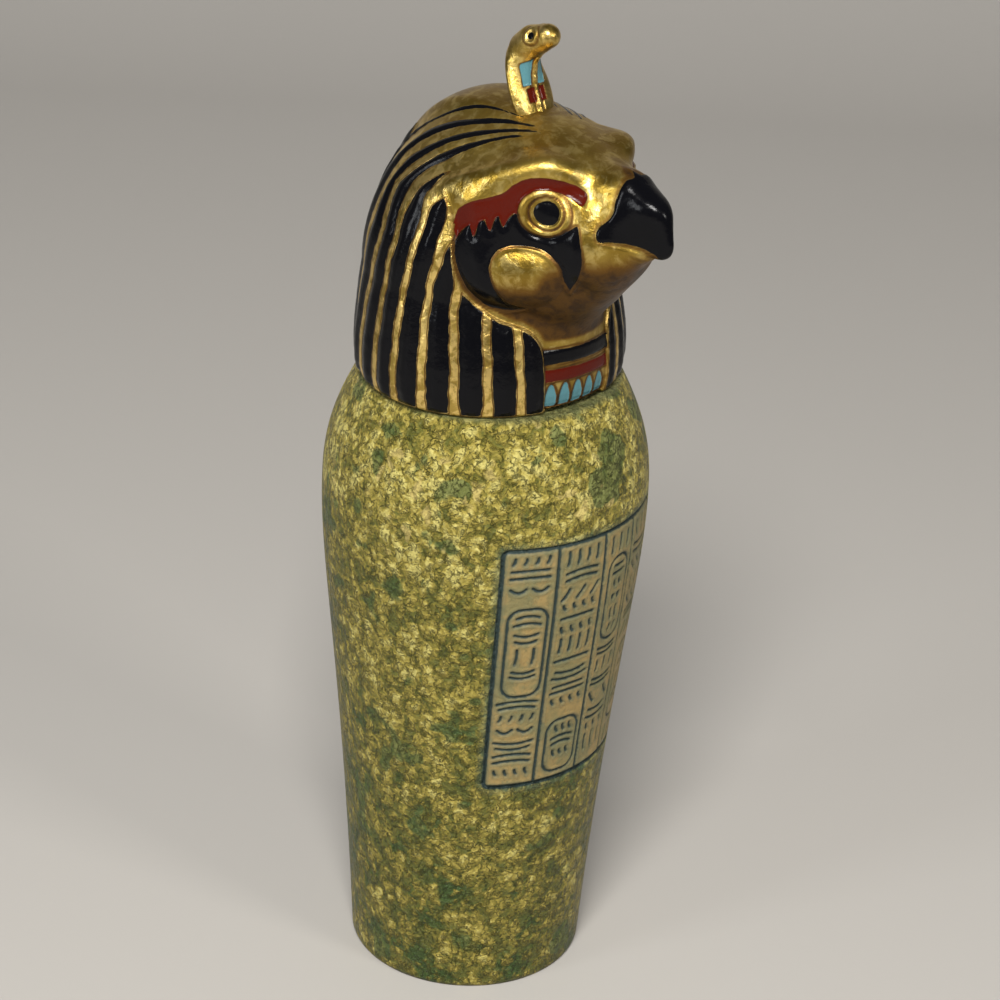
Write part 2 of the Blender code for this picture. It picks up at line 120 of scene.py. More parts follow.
def add_light():
    world = bpy.data.worlds.new("studio")
    bpy.context.scene.world = world
    world.use_nodes = True
    world.node_tree.nodes["Background"].inputs["Color"].default_value = WORLD_COLOR
    world.node_tree.nodes["Background"].inputs["Strength"].default_value = WORLD_STRENGTH
    for light in LIGHTS:
        add_area(*light)
    bpy.context.scene.view_settings.view_transform = "Standard"


# Shapes from numbers

def join(a, b, blend):
    """The two forms as one, with a soft crease about as wide as the blend."""
    share = np.clip(0.5 + 0.5 * (b - a) / blend, 0.0, 1.0)
    return b + (a - b) * share - blend * share * (1.0 - share)


def overlap(a, b, blend):
    return -join(-a, -b, blend)


def ramp(start, end, value):
    share = np.clip((value - start) / (end - start), 0.0, 1.0)
    return share * share * (3.0 - 2.0 * share)


def ellipsoid(place, centre, radii):
    offset = place - np.array(centre)
    near = np.linalg.norm(offset / np.array(radii), axis=-1) + 1e-9
    slope = np.linalg.norm(offset / np.array(radii) ** 2, axis=-1) + 1e-9
    return near * (near - 1.0) / slope


def capsule(place, start, end, start_radius, end_radius):
    start = np.array(start)
    along = np.array(end) - start
    share = np.clip((place - start) @ along / (along @ along), 0.0, 1.0)
    radius = start_radius + share * (end_radius - start_radius)
    return np.linalg.norm(place - start - share[..., None] * along, axis=-1) - radius


def path_distance(point, corners, closed):
    """Distance to a line of corners; for a closed one it is less than nothing inside."""
    distance = np.full(point.shape[:-1], 1e9)
    inside = np.zeros(point.shape[:-1], dtype=bool)
    ends = corners[1:] + corners[:1] if closed else corners[1:]
    for start, end in zip(corners, ends):
        along = np.array(end) - np.array(start)
        if not along.any():
            continue
        offset = point - np.array(start)
        share = np.clip(offset @ along / (along @ along), 0.0, 1.0)
        distance = np.minimum(distance, np.linalg.norm(offset - share[..., None] * along, axis=-1))
        if closed:
            crossing = (start[1] > point[..., 1]) != (end[1] > point[..., 1])
            slope = offset[..., 0] * along[1] - offset[..., 1] * along[0]
            inside ^= crossing & ((slope < 0.0) == (along[1] > 0.0))
    return np.where(inside, -distance, distance)


def rounded(corners, closed=True, steps=4):
    """A smooth line through the corners. A corner given twice stays sharp."""
    ring = list(corners)
    count = len(ring)
    made = []
    for i in range(count if closed else count - 1):
        if closed:
            a, b, c, d = (np.array(ring[(i + k) % count]) for k in (-1, 0, 1, 2))
        else:
            a, b, c, d = (np.array(ring[min(max(i + k, 0), count - 1)]) for k in (-1, 0, 1, 2))
        if not (c - b).any():
            continue
        for step in range(steps):
            t = step / steps
            made.append(tuple(0.5 * (2 * b + (c - a) * t + (2 * a - 5 * b + 4 * c - d) * t ** 2
                                     + (3 * b - a - 3 * c + d) * t ** 3)))
    if not closed:
        made.append(tuple(ring[-1]))
    return made


def union(*distances):
    return np.minimum.reduce(distances)


# The lid's forms, as in the solid

SEAT = 125.0
CLOTH_BACK, CLOTH_SIDE, CLOTH_FRONT, CLOTH_MEAN = 23.5, 25.4, 23.2, 24.3
DOME_BASE, DOME_RISE = 146.0, 31.2
SKIRT_HEIGHTS = (118.0, 125.0, 126.3, 128.0, 131.0, 134.0, 138.0, 142.0, 146.0)
SKIRT_SHARES = (1.00, 0.99, 1.03, 1.045, 1.050, 1.046, 1.034, 1.02, 1.0)
LAPPET_SHARES = (1.00, 0.99, 1.015, 1.025, 1.022, 1.008, 0.975, 0.93, 0.88)
CROWN_BAND_RISE = 1.2
SKULL = ((8.0, 0.0, 158.5), (26.0, 20.0, 18.8))
BROW = ((3.0, 18.0, 162.5), (21.5, 10.0, 169.6), 3.2, 4.0)
SNOUT = ((18.0, 0.0, 163.5), (31.0, 0.0, 165.2), 11.6, 5.2)
CHIN = ((17.0, 0.0, 156.0), (25.5, 0.0, 158.8), 12.0, 10.3)
JOWL = ((12.6, 13.4, 151.9), (19.8, 7.9, 153.4), 5.6, 5.4)
LOWER_BEAK = ((29.5, 0.0, 158.6), (35.6, 0.0, 159.6), 5.0, 2.8)
BEAK = ((27.7, 0.0, 165.6), (11.8, 5.4, 7.3))
BEAK_SIDE = (35.0, 3.3, 0.35)
BEAK_HOOK = ((38.2, 0.0, 165.3), (40.1, 0.0, 161.8), 3.4, 2.8)
CHEEK_PLANE = 23.6
JAW_SLOPE, JAW_CORNER = (0.814, -0.581), (32.7, 149.3)
THROAT = ((2.0, 0.0, 138.0), (20.3, 17.0, 30.0))
NECK = ((19.0, 0.0, 152.0), (15.5, 0.0, 140.0), 9.3, 7.3)


def headcloth(place):
    """The striped cloth: a skirt with two lappets, under a dome with a low band along its crown."""
    forward, side, height = np.moveaxis(place, -1, 0)
    length = np.where(forward < 0.0, CLOTH_BACK, CLOTH_FRONT)
    level = (forward / length) ** 2 + (side / CLOTH_SIDE) ** 2
    frontness = ramp(1.7, 0.7, np.arctan2(np.abs(side), forward))
    skirt_share = np.interp(height, SKIRT_HEIGHTS, SKIRT_SHARES)
    lappet_share = np.interp(height, SKIRT_HEIGHTS, LAPPET_SHARES)
    share = skirt_share * (1.0 - frontness) + lappet_share * frontness
    skirt = (np.sqrt(level) - share) * CLOTH_MEAN
    dome = (np.sqrt(level + ((height - DOME_BASE) / DOME_RISE) ** 2) - 1.0) * CLOTH_MEAN
    tuck = (1.0 - LAPPET_SHARES[-1]) * CLOTH_MEAN * ramp(DOME_BASE + 12.0, DOME_BASE, height)
    cloth = np.where(height < DOME_BASE, skirt, dome + frontness * tuck)
    band = ramp(9.5, 5.5, np.abs(side)) * ramp(DOME_BASE + 4.0, DOME_BASE + 16.0, height)
    return cloth - CROWN_BAND_RISE * band


def face(place):
    """The bird's face: skull, brows, snout, chin, jowls and the hooked beak."""
    forward, side, height = np.moveaxis(place, -1, 0)
    mirrored = place.copy()
    mirrored[..., 1] = np.sqrt(side ** 2 + 0.04)
    form = join(ellipsoid(place, *SKULL), capsule(mirrored, *BROW), 4.0)
    form = overlap(form, (forward + mirrored[..., 1]) * SINE_45 - CHEEK_PLANE, 3.0)
    form = join(form, capsule(place, *SNOUT), 2.5)
    form = join(form, capsule(place, *CHIN), 3.0)
    form = join(form, capsule(mirrored, *JOWL), 3.0)
    jaw = (forward - JAW_CORNER[0]) * JAW_SLOPE[0] + (height - JAW_CORNER[1]) * JAW_SLOPE[1]
    form = join(overlap(form, jaw, 3.0), capsule(place, *LOWER_BEAK), 2.0)
    beak = join(ellipsoid(place, *BEAK), capsule(place, *BEAK_HOOK), 1.6)
    beak_side = mirrored[..., 1] - BEAK_SIDE[1] + (forward - BEAK_SIDE[0]) * BEAK_SIDE[2]
    return join(form, overlap(beak, beak_side, 0.8), 1.2)


def head(place):
    throat = join(ellipsoid(place, *THROAT), capsule(place, *NECK), 3.0)
    form = join(join(headcloth(place), face(place), 2.0), throat, 3.0)
    return overlap(form, SEAT - place[..., 2], 0.3)


HOOD_LEAN = 28.0
HOOD_MIDDLE, HOOD_RADII = (6.6, 0.0, 180.2), (1.6, 4.8, 8.3)
COBRA_NECK = ((4.7, 0.0, 183.5), (5.1, 0.0, 187.9), 2.7, 2.9)
COBRA_HEAD = ((6.8, 0.0, 189.4), (10.3, 0.0, 191.2), 2.95, 2.2)


def hood_axes(place):
    """Distances through the cobra's leaning hood and along it."""
    lean = math.radians(HOOD_LEAN)
    offset = place - np.array(HOOD_MIDDLE)
    along = offset[..., 2] * math.cos(lean) - offset[..., 0] * math.sin(lean)
    through = offset[..., 0] * math.cos(lean) + offset[..., 2] * math.sin(lean)
    return through, along


def cobra(place):
    through, along = hood_axes(place)
    hood = ellipsoid(np.stack((through, place[..., 1], along), axis=-1), (0.0, 0.0, 0.0), HOOD_RADII)
    return join(join(hood, capsule(place, *COBRA_NECK), 2.0), capsule(place, *COBRA_HEAD), 1.0)


# Fine meshes wrapped on those forms

HEAD_GRID, HEAD_CROWD = (420, 200), 0.42
COBRA_GRID = (96, 110)
HEAD_STEM = (
    (0.0, 0.0, 125.0, 0.0), (0.017, 0.0, 125.0, 0.0), (0.2, 0.0, 137.0, 0.0), (0.42, 6.0, 153.0, 0.0),
    (0.5, 7.0, 158.0, 0.0),
)
COBRA_STEM = (
    (0.0, 9.1, 175.5, 28.0), (0.3, 6.8, 180.0, 28.0), (0.45, 4.9, 184.0, 18.0), (0.56, 4.9, 187.2, 4.0),
    (0.62, 5.4, 188.9, -25.0), (0.68, 6.6, 189.7, -60.0), (0.8, 9.9, 191.0, -75.0),
)


def wrapped_grid(columns, rows, stem, start, form, crowd):
    """Places on a form: rows of shares up a stem, columns about it, crowded towards the front."""
    spread = np.linspace(-1.0, 1.0, columns, endpoint=False)
    turn = math.pi * spread - crowd * np.sin(math.pi * spread)
    climb = np.linspace(start, 1.0, rows)
    shares, forwards, heights, leans = zip(*stem)
    lean = np.radians(np.interp(climb, shares, leans))[:, None]
    fan = np.clip((climb - shares[-1]) / (1.0 - shares[-1]), 0.0, 1.0)[:, None] ** 1.5 * (math.pi / 2)
    ahead = np.cos(turn)[None, :] * np.cos(fan)
    beside = np.sin(turn)[None, :] * np.cos(fan)
    rays = np.stack((ahead * np.cos(lean) - np.sin(fan) * np.sin(lean), beside,
                     ahead * np.sin(lean) + np.sin(fan) * np.cos(lean)), axis=-1)
    origins = np.zeros_like(rays)
    origins[..., 0] = np.interp(climb, shares, forwards)[:, None]
    origins[..., 2] = np.interp(climb, shares, heights)[:, None]
    reach = np.full(rays.shape[:2], 48.0)
    for _ in range(80):
        reach -= 0.8 * form(origins + rays * reach[..., None])
    return origins + rays * reach[..., None]


def slopes(value, place, step=0.05):
    """How fast a value grows along each axis."""
    grown = []
    for axis in range(3):
        offset = np.zeros(3)
        offset[axis] = step
        grown.append((value(place + offset) - value(place - offset)) / (2 * step))
    return np.stack(grown, axis=-1)


def unit(vector):
    return vector / np.maximum(np.linalg.norm(vector, axis=-1, keepdims=True), 1e-9)


def chart(place):
    """The cheek's chart: how far forward along the cheek, and how high."""
    forward, side, height = np.moveaxis(place, -1, 0)
    return np.stack(((forward - np.abs(side)) * SINE_45, height), axis=-1)


# What is painted and carved on the head, drawn on the cheek's chart: forward along it, and up

MARK = rounded((
    (13.8, 163.4), (14.4, 160.8), (14.9, 157.4), (14.6, 154.2), (13.2, 150.7), (13.2, 150.7), (12.0, 153.2),
    (11.5, 155.2), (10.2, 156.8), (8.2, 158.0), (6.1, 158.4), (3.5, 158.4), (1.3, 157.9), (0.0, 157.0),
    (-0.9, 155.5), (-1.1, 153.6), (-0.5, 151.3), (0.7, 149.0), (2.6, 146.9), (5.7, 146.0), (5.7, 146.0),
    (3.7, 145.2), (1.3, 145.2), (-1.3, 145.7), (-3.5, 147.3), (-5.3, 149.3), (-6.6, 152.0), (-7.4, 154.7),
    (-7.6, 157.1), (-7.3, 158.7), (-6.2, 160.2), (-5.0, 161.2), (-5.0, 161.2), (-4.1, 159.2), (-3.3, 161.8),
    (-2.3, 162.6), (-2.3, 162.6), (-1.3, 160.6), (-0.6, 162.7), (0.1, 163.6), (0.1, 163.6), (1.0, 161.6),
    (1.9, 163.3), (3.0, 164.2), (4.4, 163.0), (8.0, 161.0), (12.0, 162.2),
))
RED = rounded((
    (3.8, 164.5), (3.4, 163.0), (0.5, 160.6), (-2.0, 159.6), (-4.6, 158.2), (-7.0, 157.6), (-8.0, 160.4),
    (-7.7, 162.6), (-6.6, 164.2), (-4.3, 165.7), (-1.5, 166.7), (0.8, 167.8), (2.5, 169.4), (4.8, 170.6),
    (7.6, 171.0), (10.4, 170.6), (13.2, 169.8), (14.9, 168.9), (15.2, 167.8), (14.5, 166.7), (13.3, 167.2),
    (11.4, 168.1), (9.1, 168.7), (6.8, 168.6), (5.0, 167.5), (4.1, 166.0),
))
BEAK_EDGE = rounded((
    (23.2, 172.0), (21.9, 171.4), (20.8, 170.0), (20.2, 168.2), (19.9, 166.5), (19.0, 165.0), (17.6, 163.9),
    (17.1, 162.7), (17.5, 161.5), (19.6, 161.4), (22.0, 161.2), (24.3, 160.8), (26.3, 160.4), (28.0, 159.6),
    (28.4, 156.0), (28.4, 156.0), (60.0, 156.0), (60.0, 156.0), (60.0, 174.5), (60.0, 174.5), (24.5, 173.5),
))
CLOTH_EDGE = rounded((
    (60.0, 178.0), (8.5, 174.6), (3.0, 173.2), (-4.0, 170.2), (-9.4, 167.2), (-8.9, 163.6), (-8.2, 160.5),
    (-7.9, 157.5), (-7.7, 154.5), (-7.0, 151.0), (-5.6, 148.2),
    (-3.5, 146.1), (-1.5, 144.7), (0.9, 143.2), (3.3, 142.3), (5.7, 141.5), (7.7, 140.0), (9.2, 137.5),
    (9.8, 134.1), (10.1, 131.1), (10.2, 127.4), (9.9, 120.0),
), closed=False) + [(-90.0, 120.0), (-90.0, 220.0), (60.0, 220.0)]
BROW_CREST = rounded((
    (-12.5, 166.4), (-4.5, 169.9), (1.1, 171.2), (7.4, 173.0), (14.0, 171.6), (18.7, 170.8), (22.1, 171.7),
), closed=False)
LIP = rounded(((17.6, 160.9), (19.7, 160.4), (22.1, 159.8), (24.4, 159.2), (26.4, 158.4)), closed=False)
EYE = (8.45, 164.75)
PUPIL_RADIUS = 2.3
EYE_STRETCH = (1.0, 1.04)
LID_RIM, LID_RIM_STRETCH, LID_RIM_RADIUS = (7.95, 164.6), (1.0, 1.09), 4.65
CHEEK, CHEEK_RADII = (5.4, 152.4), (6.6, 6.0)
BEAK_FRONT, BEAK_FRONT_REACH, BEAK_FRONT_RISE = (37.6, 167.0), (4.0, 4.2), 0.95
BEAK_FROM = 26.0

# The collar between the lappets: the middle and half height of its bars, and its ring of petals
BAR_BLACK, BAR_RED, COLLAR_SLOPE = (135.55, 1.35), (131.95, 1.15), 0.04
PETAL_SHIFT, PETAL_PITCH, PETAL_SCALE, PETAL_FOOT, PETAL_REACH = 0.9, 7.6, 0.41, 125.2, 19.0

# Far from any painted region, in millimetres
FAR = 9.0

# The pleats: whole numbers are the gold stripes, counted from the lappet's inner edge to the back.
# The painted stripe after each one ends in a taper, so far forward or so far up
PLEAT_START, PLEAT_PITCH = 18.0, 13.5
PLEAT_HEIGHTS = (127.0, 135.0, 142.0, 149.0, 156.0, 160.0, 164.0, 168.0)
PLEAT_PLACES = (
    (0.0, 0.93, 2.02, 3.07, 4.11, 5.14, 5.97, 7.0, 8.0, 9.0, 10.0),
    (0.0, 1.04, 2.09, 3.12, 4.14, 5.13, 5.97, 7.0, 8.0, 9.0, 10.0),
    (0.0, 1.16, 2.19, 3.27, 4.18, 5.09, 5.89, 6.85, 7.9, 9.0, 10.0),
    (0.0, 1.2, 2.44, 3.52, 4.27, 5.04, 5.83, 6.68, 7.8, 8.95, 10.0),
    (0.0, 1.2, 2.5, 3.62, 4.25, 5.05, 5.87, 6.6, 7.7, 8.95, 10.0),
    (0.0, 1.1, 2.35, 3.5, 4.3, 5.14, 6.08, 6.95, 7.72, 9.0, 10.0),
    (0.0, 1.0, 2.2, 3.4, 4.3, 5.18, 6.35, 7.28, 7.87, 9.2, 10.0),
    (0.0, 1.0, 2.0, 3.1, 4.2, 5.35, 6.47, 7.25, 8.05, 9.2, 10.0),
)
FAN_LINE, FAN_LEAN, FAN_PLAN = 18.0, 5.5, (25.6, 26.2)
FAN_RISE, FAN_CROWN = (141.0, 155.0), (162.0, 171.0)
STRIPE_FRONTS = (99.0, 99.0, 99.0, 99.0, 99.0, 99.0, 14.2, 14.8, 13.2, 10.6, 99.0, 99.0)
STRIPE_TOPS = (160.0, 160.0, 160.0, 157.6, 164.9, 168.6, 999.0, 999.0, 999.0, 999.0, 170.0, 167.0)
STRIPE_TAPERS = (1.0, 1.0, 1.0, 8.0, 1.8, 7.0, 2.4, 1.8, 1.8, 3.0, 7.0, 7.0)
STRIPE_WIDTHS = (1.0, 1.0, 1.0, 1.0, 1.0, 1.0, 1.0, 1.0, 0.85, 0.5, 0.8, 0.8)


def pleat_count(place):
    forward, side, height = np.moveaxis(place, -1, 0)
    line = FAN_LINE * ramp(FAN_RISE[0], FAN_RISE[1], height)
    line += FAN_LEAN * ramp(FAN_CROWN[0], FAN_CROWN[1], height)
    ahead = (forward - line) / FAN_PLAN[0]
    beside = np.abs(side) / FAN_PLAN[1]
    squares = np.maximum(ahead ** 2 + beside ** 2, 1e-9)
    middle = ahead * line / FAN_PLAN[0]
    reach = (np.sqrt(middle ** 2 + squares * (1.0 - (line / FAN_PLAN[0]) ** 2)) - middle) / squares
    turn = np.arctan2(reach * beside * FAN_PLAN[1], line + reach * ahead * FAN_PLAN[0])
    count = (np.degrees(turn) - PLEAT_START) / PLEAT_PITCH
    level = np.interp(height, PLEAT_HEIGHTS, range(len(PLEAT_HEIGHTS)))
    settled = 0.0
    for number, places in enumerate(PLEAT_PLACES):
        share = np.clip(1.0 - np.abs(level - number), 0.0, 1.0)
        settled = settled + share * np.interp(count, places, range(len(places)))
    return np.where((count > 0.0) & (count < 10.0), settled, count)


def stripes(place, normal):
    """Distance to the painted stripes in millimetres, less than nothing inside, and half their width."""
    count = pleat_count(place)
    slope = slopes(pleat_count, place)
    slope -= (slope * normal).sum(-1, keepdims=True) * normal
    pitch = 1.0 / np.maximum(np.linalg.norm(slope, axis=-1), 0.08)
    number = np.clip(np.floor(count), 0, len(STRIPE_TOPS) - 1).astype(int)
    height = place[..., 2]
    ahead, above = np.array(STRIPE_FRONTS)[number], np.array(STRIPE_TOPS)[number]
    rest = np.minimum(ahead - place[..., 0], above - height)
    taper = np.clip(rest / np.array(STRIPE_TAPERS)[number], 0.0, 1.0) ** 0.6
    share = 0.345 - 0.095 * ramp(158.0, 174.0, height) - 0.035 * ramp(128.5, 125.5, height)
    uneven = 0.09 * np.sin(0.83 * height + 2.3 * number) + 0.04 * np.sin(2.1 * height + 4.1 * number)
    half = pitch * share * taper * np.array(STRIPE_WIDTHS)[number]
    distance = np.abs(count - number - 0.5) * pitch - half + uneven * np.minimum(half, 1.0)
    return np.maximum(distance, -rest), np.maximum(half, 0.2)


def dome(distance, half):
    """A rounded profile across a band, from 0 at its edges to 1 in its middle."""
    across = np.clip(1.0 + distance / half, 0.0, 1.0)
    return (1.0 - across ** 2) ** 1.6 * (distance < 0.0)


def groove(distance, width):
    return np.exp(-(distance / width) ** 2)


def lid_regions(black, red, blue, wash_and_shade, pleated):
    """The lid's regions: signed distances to its paints, and shares of pleated gold and of brown wash; the
    wash share also carries painted shade under the chin, on faces turned down and a painted dark reflection
    on the crown.
    """
    return {"black": black, "red": red, "blue": blue, "wash_and_shade": np.clip(wash_and_shade, 0.0, 1.0), "pleated": pleated}


def head_detail(place, normal):
    """Relief in millimetres and the painted regions' distances on the head."""
    forward, side, height = np.moveaxis(place, -1, 0)
    flat = chart(place)
    edge = path_distance(flat, CLOTH_EDGE, True)
    eye = np.linalg.norm((flat - np.array(EYE)) * np.array(EYE_STRETCH), axis=-1)
    lid_rim = np.linalg.norm((flat - np.array(LID_RIM)) * np.array(LID_RIM_STRETCH), axis=-1)
    lid_rim = lid_rim - LID_RIM_RADIUS
    on_face = ramp(-0.2, 0.3, edge)
    mark = np.maximum(path_distance(flat, MARK, True), -lid_rim)
    brow = np.maximum(np.maximum(path_distance(flat, RED, True), -lid_rim), -mark)
    beak = path_distance(flat, BEAK_EDGE, True)
    stripe, half = stripes(place, normal)
    stripe = np.maximum(stripe, edge + 0.25)
    stripe_low = np.maximum(stripe, 125.4 - height)

    fade = ramp(0.0, 5.0, edge) * ramp(138.0, 144.0, height)
    sunk = ramp(-0.35, 0.25, edge) * (1.0 - fade) * ramp(170.0, 161.0, height)
    pleat = (-0.45 + 0.50 * dome(stripe, half) + 0.08 * ramp(-0.4, 0.7, stripe)) * ramp(0.2, -0.8, edge)
    relief = -0.9 * sunk + pleat * ramp(125.0, 126.5, height) * ramp(181.0, 166.0, height)

    carved = 0.32 * ramp(0.2, -1.3, mark)
    from_cheek = np.hypot(flat[..., 0] - CHEEK[0], height - CHEEK[1])
    carved += 0.32 * groove(mark - 0.45, 0.32) * ramp(10.5, 8.5, from_cheek)
    carved += -0.26 * ramp(0.35, -0.45, brow)
    cheek = np.hypot((flat[..., 0] - CHEEK[0]) / CHEEK_RADII[0], (height - CHEEK[1]) / CHEEK_RADII[1])
    carved += 0.9 * np.clip(1.0 - cheek ** 2, 0.0, 1.0) ** 0.8 * ramp(0.0, 1.0, mark)
    crest = path_distance(flat, BROW_CREST, False)
    carved += 0.45 * groove(crest, 1.5) * ramp(-13.0, -8.0, flat[..., 0])
    carved *= 1.0 - ramp(0.4, -0.1, lid_rim)
    socket = 0.55 * np.exp(-((lid_rim + 0.95) / 0.75) ** 2) * (lid_rim < 0.6)
    socket += 0.34 * groove(eye - 2.72, 0.30) - 0.20 * groove(eye - 3.2, 0.24)
    ball = np.sqrt(np.clip(1.0 - (eye / PUPIL_RADIUS) ** 2, 0.0, 1.0))
    socket += 0.75 * ball - 0.15 * groove(lid_rim - 0.15, 0.25)
    snout = 0.45 * ramp(0.4, -0.6, beak) * ramp(36.0, 31.0, forward)
    ahead = (forward - BEAK_FRONT[0]) / BEAK_FRONT_REACH[0]
    above = (height - BEAK_FRONT[1]) / BEAK_FRONT_REACH[1]
    snout += BEAK_FRONT_RISE * np.exp(-ahead ** 2 - above ** 2) * (beak < 0.0)
    lip = path_distance(flat, LIP, False)
    snout += 0.25 * groove(lip, 0.6)
    relief += (carved + socket + snout) * on_face

    turn = np.degrees(np.arctan2(side, forward))
    on_bib = (edge > 0.1) & (np.abs(turn) < 30.0) & (height < 139.0) & (forward > 15.0)
    fall = height + COLLAR_SLOPE * side
    bar_black = np.where(on_bib, np.abs(fall - BAR_BLACK[0]) - BAR_BLACK[1], FAR)
    bar_red = np.where(on_bib, np.abs(fall - BAR_RED[0]) - BAR_RED[1], FAR)
    petal_turn = np.mod(turn + PETAL_SHIFT + PETAL_PITCH / 2, PETAL_PITCH) - PETAL_PITCH / 2
    petal_turn = petal_turn * PETAL_SCALE
    petal_rise = fall - PETAL_FOOT
    petal_half = 1.18 * np.sqrt(np.clip((5.0 - petal_rise) / 2.4, 0.0, 1.0))
    petal = np.maximum(np.abs(petal_turn) - petal_half, np.maximum(0.25 - petal_rise, petal_rise - 4.9))
    petal = np.where(on_bib & (np.abs(turn + PETAL_SHIFT) < PETAL_REACH), petal, FAR)
    ribs = 0.25 * ramp(0.2, -0.6, bar_black) + 0.12 * ramp(0.2, -0.5, bar_red)
    ribs = ribs - 0.22 * ramp(0.3, -0.3, petal)
    relief += np.where(on_bib, ribs, 0.0)

    pupil = eye - PUPIL_RADIUS
    on_beak = np.where(forward > BEAK_FROM, beak, FAR)
    black = union(stripe_low, np.where(edge > 0.0, union(mark, pupil, on_beak), FAR), bar_black)
    red = union(np.where(edge > 0.0, brow, FAR), bar_red)
    wash_and_shade = 0.6 * groove(edge - 0.2, 0.3) * ramp(168.0, 160.0, height)
    wash_and_shade += 0.8 * groove(mark - 0.2, 0.28) + 1.3 * groove(eye - 3.2, 0.20)
    wash_and_shade += groove(lid_rim - 0.2, 0.30) + 0.6 * groove(beak - 0.3, 0.35) * (forward > BEAK_FROM)
    wash_and_shade += 0.8 * (groove(bar_black - 0.2, 0.25) + groove(bar_red - 0.2, 0.25))
    wash_and_shade += 0.8 * groove(petal - 0.3, 0.3)
    # Painted shade: more wash under the chin, along the jaw and on the lower cheek, where the head's
    # underside is in shade
    chin_shade = ramp(159.5, 149.0, height) * ramp(6.5, 10.0, flat[..., 0])
    chin_shade += ramp(148.5, 145.0, height) * ramp(-2.0, 4.0, flat[..., 0])
    chin_shade += 0.8 * ramp(152.5, 146.5, height) * (mark > 0.0) * (from_cheek < 9.0)
    wash_and_shade += 0.95 * np.minimum(chin_shade, 1.0) * ramp(0.3, 1.6, edge) * ramp(138.2, 139.5, height)
    # Painted shade by facing: more wash on faces turned down, and some on faces turned up at the crown as a
    # painted dark reflection
    wash_and_shade += 0.60 * ramp(0.30, -0.45, normal[..., 2]) * ramp(0.0, 1.0, edge)
    wash_and_shade += 0.35 * ramp(0.6, 0.95, normal[..., 2])
    pleated = ramp(0.3, -0.3, edge) * ramp(176.0, 166.0, height)
    return relief, lid_regions(black, red, petal, wash_and_shade, pleated)


def cobra_detail(place, normal):
    """Relief and painted regions on the rearing cobra: the patches on its hood, and its eyes."""
    through, along = hood_axes(place)
    across = np.abs(place[..., 1])
    front = (through > 0.2) & (place[..., 2] < 187.0)
    blue = np.where(front, np.maximum(np.abs(across - 1.75) - 0.9, np.abs(along - 2.9) - 2.0), FAR)
    red = np.where(front, np.maximum(np.abs(across - 1.3) - 0.75, np.abs(along + 0.9) - 1.25), FAR)
    eye = np.linalg.norm((place - np.array((8.3, 0.0, 191.2)))[..., (0, 2)], axis=-1) - 0.62
    eye = np.where(across > 0.8, eye, FAR)
    spine = groove(across, 0.45) * front * ramp(5.8, 4.5, along)
    relief = 0.25 * spine - 0.15 * groove(across - 0.9, 0.25) * front * ramp(6.0, 5.0, along)
    relief += -0.15 * ramp(0.1, -0.2, blue) - 0.12 * ramp(0.1, -0.2, red)
    relief += 0.30 * groove(eye - 0.55, 0.3) - 0.1 * groove(eye, 0.2)
    relief += 0.05 * np.sin(along * 4.2) * front * (across < 0.8)
    wash_and_shade = 0.7 * (groove(blue, 0.25) + groove(red, 0.25) + groove(eye - 1.1, 0.3))
    wash_and_shade += 0.4 * groove(across - 0.9, 0.25) * front
    return relief, lid_regions(eye, red, blue, wash_and_shade, np.full(len(eye), 0.4))


# Meshes from grids of places

def grid_faces(rows, columns, first=0):
    """Faces between rows of a ring, with a point at each end."""
    ring = np.arange(columns)
    beside = (ring + 1) % columns
    quads = []
    for row in range(rows - 1):
        low = first + row * columns
        high = low + columns
        quads.append(np.stack((low + ring, low + beside, high + beside, high + ring), axis=1))
    bottom, top = first + rows * columns, first + rows * columns + 1
    last = first + (rows - 1) * columns
    caps = [(bottom, first + int(b), first + int(a)) for a, b in zip(ring, beside)]
    caps += [(top, last + int(a), last + int(b)) for a, b in zip(ring, beside)]
    return np.concatenate(quads).tolist() + caps


def add_piece(name, points, faces, regions, material):
    mesh = bpy.data.meshes.new(name)
    mesh.from_pydata(points.tolist(), [], faces)
    mesh.polygons.foreach_set("use_smooth", np.ones(len(faces), dtype=bool))
    for region, values in regions.items():
        layer = mesh.attributes.new(region, "FLOAT", "POINT")
        layer.data.foreach_set("value", values.astype(np.float32))
    mesh.materials.append(material)
    piece = bpy.data.objects.new(name, mesh)
    bpy.context.scene.collection.objects.link(piece)
    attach(piece, "root")
    return piece


def to_scene(place):
    forward, side, height = np.moveaxis(place, -1, 0)
    return np.stack((side, -forward, height), axis=-1) * MM


def ringed(form, detail, grid, first):
    """The places, faces and regions of a form wrapped by a grid of rings."""
    rows, columns = grid.shape[:2]
    place = grid.reshape(-1, 3)
    normal = unit(slopes(form, place))
    relief, regions = detail(place, normal)
    moved = place + normal * relief[:, None]
    moved[:, 2] = np.maximum(moved[:, 2], SEAT)
    ends = np.stack((moved[:columns].mean(0), moved[-columns:].mean(0)))
    points = np.concatenate((moved, ends))
    values = {}
    for name, value in regions.items():
        tail = (value[:columns].mean(), value[-columns:].mean())
        values[name] = np.concatenate((value, tail))
    return points, grid_faces(rows, columns, first), values


def plug_rings(columns=96):
    """The locating plug below the lid, from the middle of its tip up to a ring inside the head."""
    outline = ((16.7, 120.0), (17.2, 120.2), (17.5, 120.8), (17.5, 124.0), (17.5, 126.5))
    turn = np.linspace(0.0, 2.0 * math.pi, columns, endpoint=False)
    rings = [np.stack((radius * np.cos(turn), radius * np.sin(turn), np.full(columns, height)), axis=-1)
             for radius, height in outline]
    points = np.concatenate(rings + [np.array(((0.0, 0.0, 120.0), (0.0, 0.0, 126.5)))])
    bare, wash_and_shade = np.full(len(points), FAR), np.full(len(points), 0.6)
    regions = lid_regions(bare, bare, bare, wash_and_shade, np.zeros(len(points)))
    return points, len(outline), columns, regions


